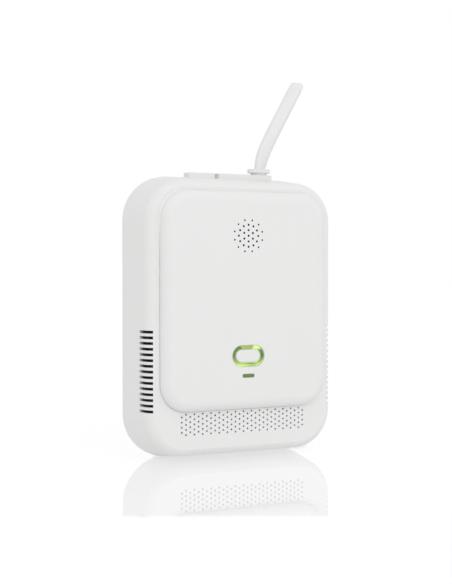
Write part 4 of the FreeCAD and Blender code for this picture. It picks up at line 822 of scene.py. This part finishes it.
class DETECTOR_OT_stage(bpy.types.Operator):
    """Adds the pale floor, the lamp, the room light and the camera"""
    bl_idname = "detector.stage"
    bl_label = "Stage"

    def execute(self, context):
        sizes = context.scene.detector_stage
        context.scene.view_settings.view_transform = "Standard"
        self.add_camera(context.scene, sizes)
        self.add_room(context.scene, sizes)
        self.add_floor(sizes)
        self.add_lamp(context.scene, sizes)
        return {"FINISHED"}

    def add_camera(self, scene, sizes):
        """A camera where the sizes put it, turned to the right and tilted down."""
        camera = bpy.data.objects.new("Camera", bpy.data.cameras.new("Camera"))
        scene.collection.objects.link(camera)
        camera.location = sizes.eye
        camera.rotation_euler = (math.pi / 2 - sizes.tilt, 0.0, -sizes.yaw)
        camera.data.lens = sizes.lens
        camera.data.clip_start = 10 * MM
        scene.camera = camera

    def add_room(self, scene, sizes):
        """A room that is white to look at and gives a soft light that leans to one side."""
        world = bpy.data.worlds.new("Room")
        scene.world = world
        shader = Shader(world)
        seen = shader.seen()
        ahead = shader.node("ShaderNodeTexCoord", output="Generated")
        lean = sum(shader.along(ahead, axis) * part for axis, part in zip("XYZ", sizes.lean))
        strength = seen + (1.0 - seen) * (sizes.daylight + lean)
        shader.finish(shader.node("ShaderNodeBackground", None,
                                  {"Color": (1.0, 1.0, 1.0, 1.0), "Strength": strength}))

    def add_floor(self, sizes):
        """A white floor that mirrors the alarm up to a line in front of it."""
        radius, thickness, drop = 6.0, 4 * MM, 0.1 * MM
        bm = bmesh.new()
        turned(bm, ((radius, -thickness), (radius, 0.0)), (0.0, 0.0, -drop), (0.0, 0.0, 1.0), 96)
        floor = linked("Floor", bm)
        made, shader = material("Floor_gloss")
        place = shader.place()
        behind = (shader.along(place, "X") * math.sin(sizes.yaw)
                  + shader.along(place, "Y") * math.cos(sizes.yaw))
        image = behind.rising(-sizes.mirror_end, sizes.mirror_fade) * sizes.mirror
        strength = sizes.bounce + shader.seen() * (sizes.floor_glow - sizes.bounce)
        glow = shader.node("ShaderNodeEmission", None, {"Strength": strength})
        matt = shader.node("ShaderNodeBsdfDiffuse", None, {"Color": (0.9, 0.9, 0.9, 1.0)})
        gloss = shader.node("ShaderNodeBsdfGlossy", None,
                            {"Color": (1.0, 1.0, 1.0, 1.0), "Roughness": 0.03})
        plain = shader.node("ShaderNodeMixShader", None, {0: sizes.matt, 1: glow, 2: matt})
        shader.finish(shader.node("ShaderNodeMixShader", None, {0: image, 1: plain, 2: gloss}))
        floor.data.materials.append(made)

    def add_lamp(self, scene, sizes):
        """A large round lamp that points at a place near the middle of the alarm."""
        lamp = bpy.data.lights.new("Key_lamp", "AREA")
        lamp.shape = "DISK"
        lamp.size = sizes.key_width
        lamp.energy = sizes.key_power
        made = bpy.data.objects.new("Key_lamp", lamp)
        scene.collection.objects.link(made)
        made.location = sizes.key_place
        aim = Vector((0.0, 0.0, 60 * MM)) - Vector(sizes.key_place)
        made.rotation_euler = aim.to_track_quat("-Z", "Y").to_euler()


class DETECTOR_OT_plug(bpy.types.Operator):
    """Adds the flat two-pin plug with its strain relief, pins and sleeves"""
    bl_idname = "detector.plug"
    bl_label = "Plug"

    def execute(self, context):
        sizes = context.scene.detector_plug
        skin = pvc("Plug_pvc", sizes.body, 0.33)
        self.add_body(sizes, skin)
        self.add_relief(skin)
        self.add_pins()
        return {"FINISHED"}

    def add_body(self, sizes, skin):
        """A body that widens from its neck to the flat face, with grip ribs on both broad sides."""
        low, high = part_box("plug_body")
        middle, half = (low + high) / 2, (high - low) / 2
        rings = []
        for along, wide, tall, power in plug_stations(sizes.rib_count, sizes.rib_depth / half.z):
            centre = Vector((middle.x, low.y + 2 * half.y * along, middle.z))
            rings.append(superellipse(centre, half.x * wide, half.z * min(tall, 1.0), power))
        bm = bmesh.new()
        loft(bm, rings)
        body = piece("Plug_body", bm, skin, smooth=50.0)
        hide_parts("plug_body")

    def add_relief(self, skin):
        """A ribbed, tapered strain relief between the cord and the plug."""
        low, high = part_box("plug_relief")
        middle, reach = (low + high) / 2, high.y - low.y + RELIEF_ROOT
        widening = (high.x - low.x) / 2 - RELIEF_NECK
        profile = []
        for i in range(RELIEF_STEPS + 1):
            along = i / RELIEF_STEPS
            groove = RELIEF_GROOVE if i % 4 in (2, 3) and i < RELIEF_PLAIN_FROM else 0.0
            profile.append((RELIEF_NECK + widening * along - groove, along * reach))
        bm = bmesh.new()
        turned(bm, profile, (middle.x, low.y, middle.z), (0, 1, 0), 28)
        relief = piece("Plug_relief", bm, skin, smooth=35.0)
        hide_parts("plug_relief")

    def add_pins(self):
        """Two nickel pins with round tips, and the black sleeves on their inner halves."""
        low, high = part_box("plug_pins")
        sleeve_low, sleeve_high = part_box("pin_sleeves")
        radius = (high.z - low.z) / 2
        span, tip = sleeve_high.y - sleeve_low.y, high.y - sleeve_low.y
        core, bore, edge = (radius * part for part in (PIN_CORE, SLEEVE_BORE, PIN_EDGE))
        turns = [math.pi / 2 * i / TIP_STEPS for i in range(TIP_STEPS)]
        nose = [(radius * math.cos(turn), tip - radius + radius * math.sin(turn))
                for turn in turns]
        metal_part, sleeve_part = bmesh.new(), bmesh.new()
        for x in (low.x + radius, high.x - radius):
            base = (x, sleeve_low.y, (low.z + high.z) / 2)
            turned(metal_part, [(core, -PIN_ROOT), (core, span), (edge, span),
                                (radius, span + PIN_BEVEL), *nose, (TIP_FLAT, tip)],
                   base, (0, 1, 0))
            turned(sleeve_part, [(radius, -SLEEVE_ROOT), (radius, span - SLEEVE_BEVEL),
                                 (edge, span), (bore, span)], base, (0, 1, 0))
        pins = piece("Plug_pins", metal_part, FINISHES["pin_brass"])
        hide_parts("plug_pins")
        sleeves = piece("Plug_sleeves", sleeve_part, FINISHES["component_black"])
        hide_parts("pin_sleeves")


class DETECTOR_OT_cord(bpy.types.Operator):
    """Adds the flat two-core cord, from the collar to its coil and on to the plug"""
    bl_idname = "detector.cord"
    bl_label = "Mains cord"

    def execute(self, context):
        sizes = context.scene.detector_cord
        path = cord_line([*OVER_ROUTE, *coil_points(sizes), *PLUG_ROUTE])
        bm = bmesh.new()
        sweep(bm, path, TWISTS,
              flat_section(sizes.width * DRAWN_WIDTH, sizes.thickness, sizes.groove))
        cord = piece("Mains_cord", bm, FINISHES["cord_white"], smooth=60.0)
        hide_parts("mains_cord", "cord_coil")
        return {"FINISHED"}


class DETECTOR_OT_screws(bpy.types.Operator):
    """Adds the four cross-head screws in the back"""
    bl_idname = "detector.screws"
    bl_label = "Case screws"

    def execute(self, context):
        low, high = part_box("case_screws")
        bm = bmesh.new()
        for x in (low.x + HEAD_RADIUS, high.x - HEAD_RADIUS):
            for z in (low.z + HEAD_RADIUS, high.z - HEAD_RADIUS):
                self.add_screw(bm, Vector((x, high.y, z)), high.y - low.y)
        screws = piece("Back_screws", bm, FINISHES["screw_steel"], smooth=35.0)
        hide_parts("case_screws")
        return {"FINISHED"}

    def add_screw(self, bm, top, total):
        """A domed head with a cross recess, on a threaded shank."""
        cross = []
        for c, s in ((1, 0), (0, 1), (-1, 0), (0, -1)):
            for along, across in ((CROSS_HALF_SLOT, -CROSS_HALF_SLOT),
                                  (CROSS_ARM, -CROSS_HALF_SLOT), (CROSS_ARM, CROSS_HALF_SLOT)):
                cross.append((c * along - s * across, s * along + c * across))
        levels = [self.level(bm, top, circle(48), part, depth) for part, depth in HEAD_LEVELS]
        for low, high in zip(levels, levels[1:]):
            bridge(bm, low, high)
        mouth = self.level(bm, top, cross, 1.0, 0.0)
        floor = self.level(bm, top, cross, CROSS_FLOOR, CROSS_DEPTH)
        bridge(bm, mouth, floor)
        bm.faces.new(floor)
        edges = []
        for ring in (levels[-1], mouth):
            for pair in zip(ring, ring[1:] + ring[:1]):
                edges.append(bm.edges.get(pair) or bm.edges.new(pair))
        bmesh.ops.triangle_fill(bm, use_beauty=True, edges=edges)
        bm.faces.new(levels[0])
        thread = total - HEAD_THICK - POINT_LENGTH
        shank = [(THREAD_CREST if i % 2 else THREAD_ROOT, -HEAD_THICK - thread * i / THREAD_STEPS)
                 for i in range(THREAD_STEPS + 1)]
        turned(bm, [*shank, (POINT_RADIUS, -total)], top, (0, 1, 0), 20)

    def level(self, bm, top, shape, part, depth):
        """A ring of vertices across the screw, at a depth under its top."""
        return [bm.verts.new((top.x + u * HEAD_RADIUS * part, top.y - depth,
                              top.z + v * HEAD_RADIUS * part)) for u, v in shape]


class DETECTOR_OT_solids(bpy.types.Operator):
    """Gives the case, the button, the lights and the inner parts their own finishes"""
    bl_idname = "detector.solids"
    bl_label = "Case and inner parts"

    def execute(self, context):
        for entry in frame["record"]["subparts"]:
            node = frame["nodes"][entry["node"]]
            if not node.hide_render:
                finish = FINISHES.get(entry["node"]) or FINISHES[entry["material_slot"]]
                node.data.materials.clear()
                node.data.materials.append(finish)
        return {"FINISHED"}


STEPS = (DETECTOR_OT_stage, DETECTOR_OT_plug, DETECTOR_OT_cord, DETECTOR_OT_screws,
         DETECTOR_OT_solids)


class DETECTOR_PT_panel(bpy.types.Panel):
    """Lists the detector's pieces and what can be changed about them"""
    bl_idname = "DETECTOR_PT_panel"
    bl_label = "Carbon monoxide detector"
    bl_space_type = "VIEW_3D"
    bl_region_type = "UI"
    bl_category = "Detector"

    def draw(self, context):
        for step in STEPS:
            self.layout.operator(step.bl_idname, text=step.bl_label)
        for name, group in LOOKS:
            box = self.layout.box()
            for setting in group.__annotations__:
                box.prop(getattr(context.scene, name), setting)


CLASSES = (*(group for _, group in LOOKS), *STEPS, DETECTOR_PT_panel)


def register():
    for item in CLASSES:
        bpy.utils.register_class(item)
    for name, group in LOOKS:
        setattr(bpy.types.Scene, name, PointerProperty(type=group))


def unregister():
    for name, _ in LOOKS:
        delattr(bpy.types.Scene, name)
    for item in reversed(CLASSES):
        bpy.utils.unregister_class(item)


def main():
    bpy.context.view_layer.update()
    register()
    make_finishes(bpy.context.scene)
    bpy.ops.detector.stage()
    bpy.ops.detector.plug()
    bpy.ops.detector.cord()
    bpy.ops.detector.screws()
    bpy.ops.detector.solids()


if __name__ == "__main__":
    main()
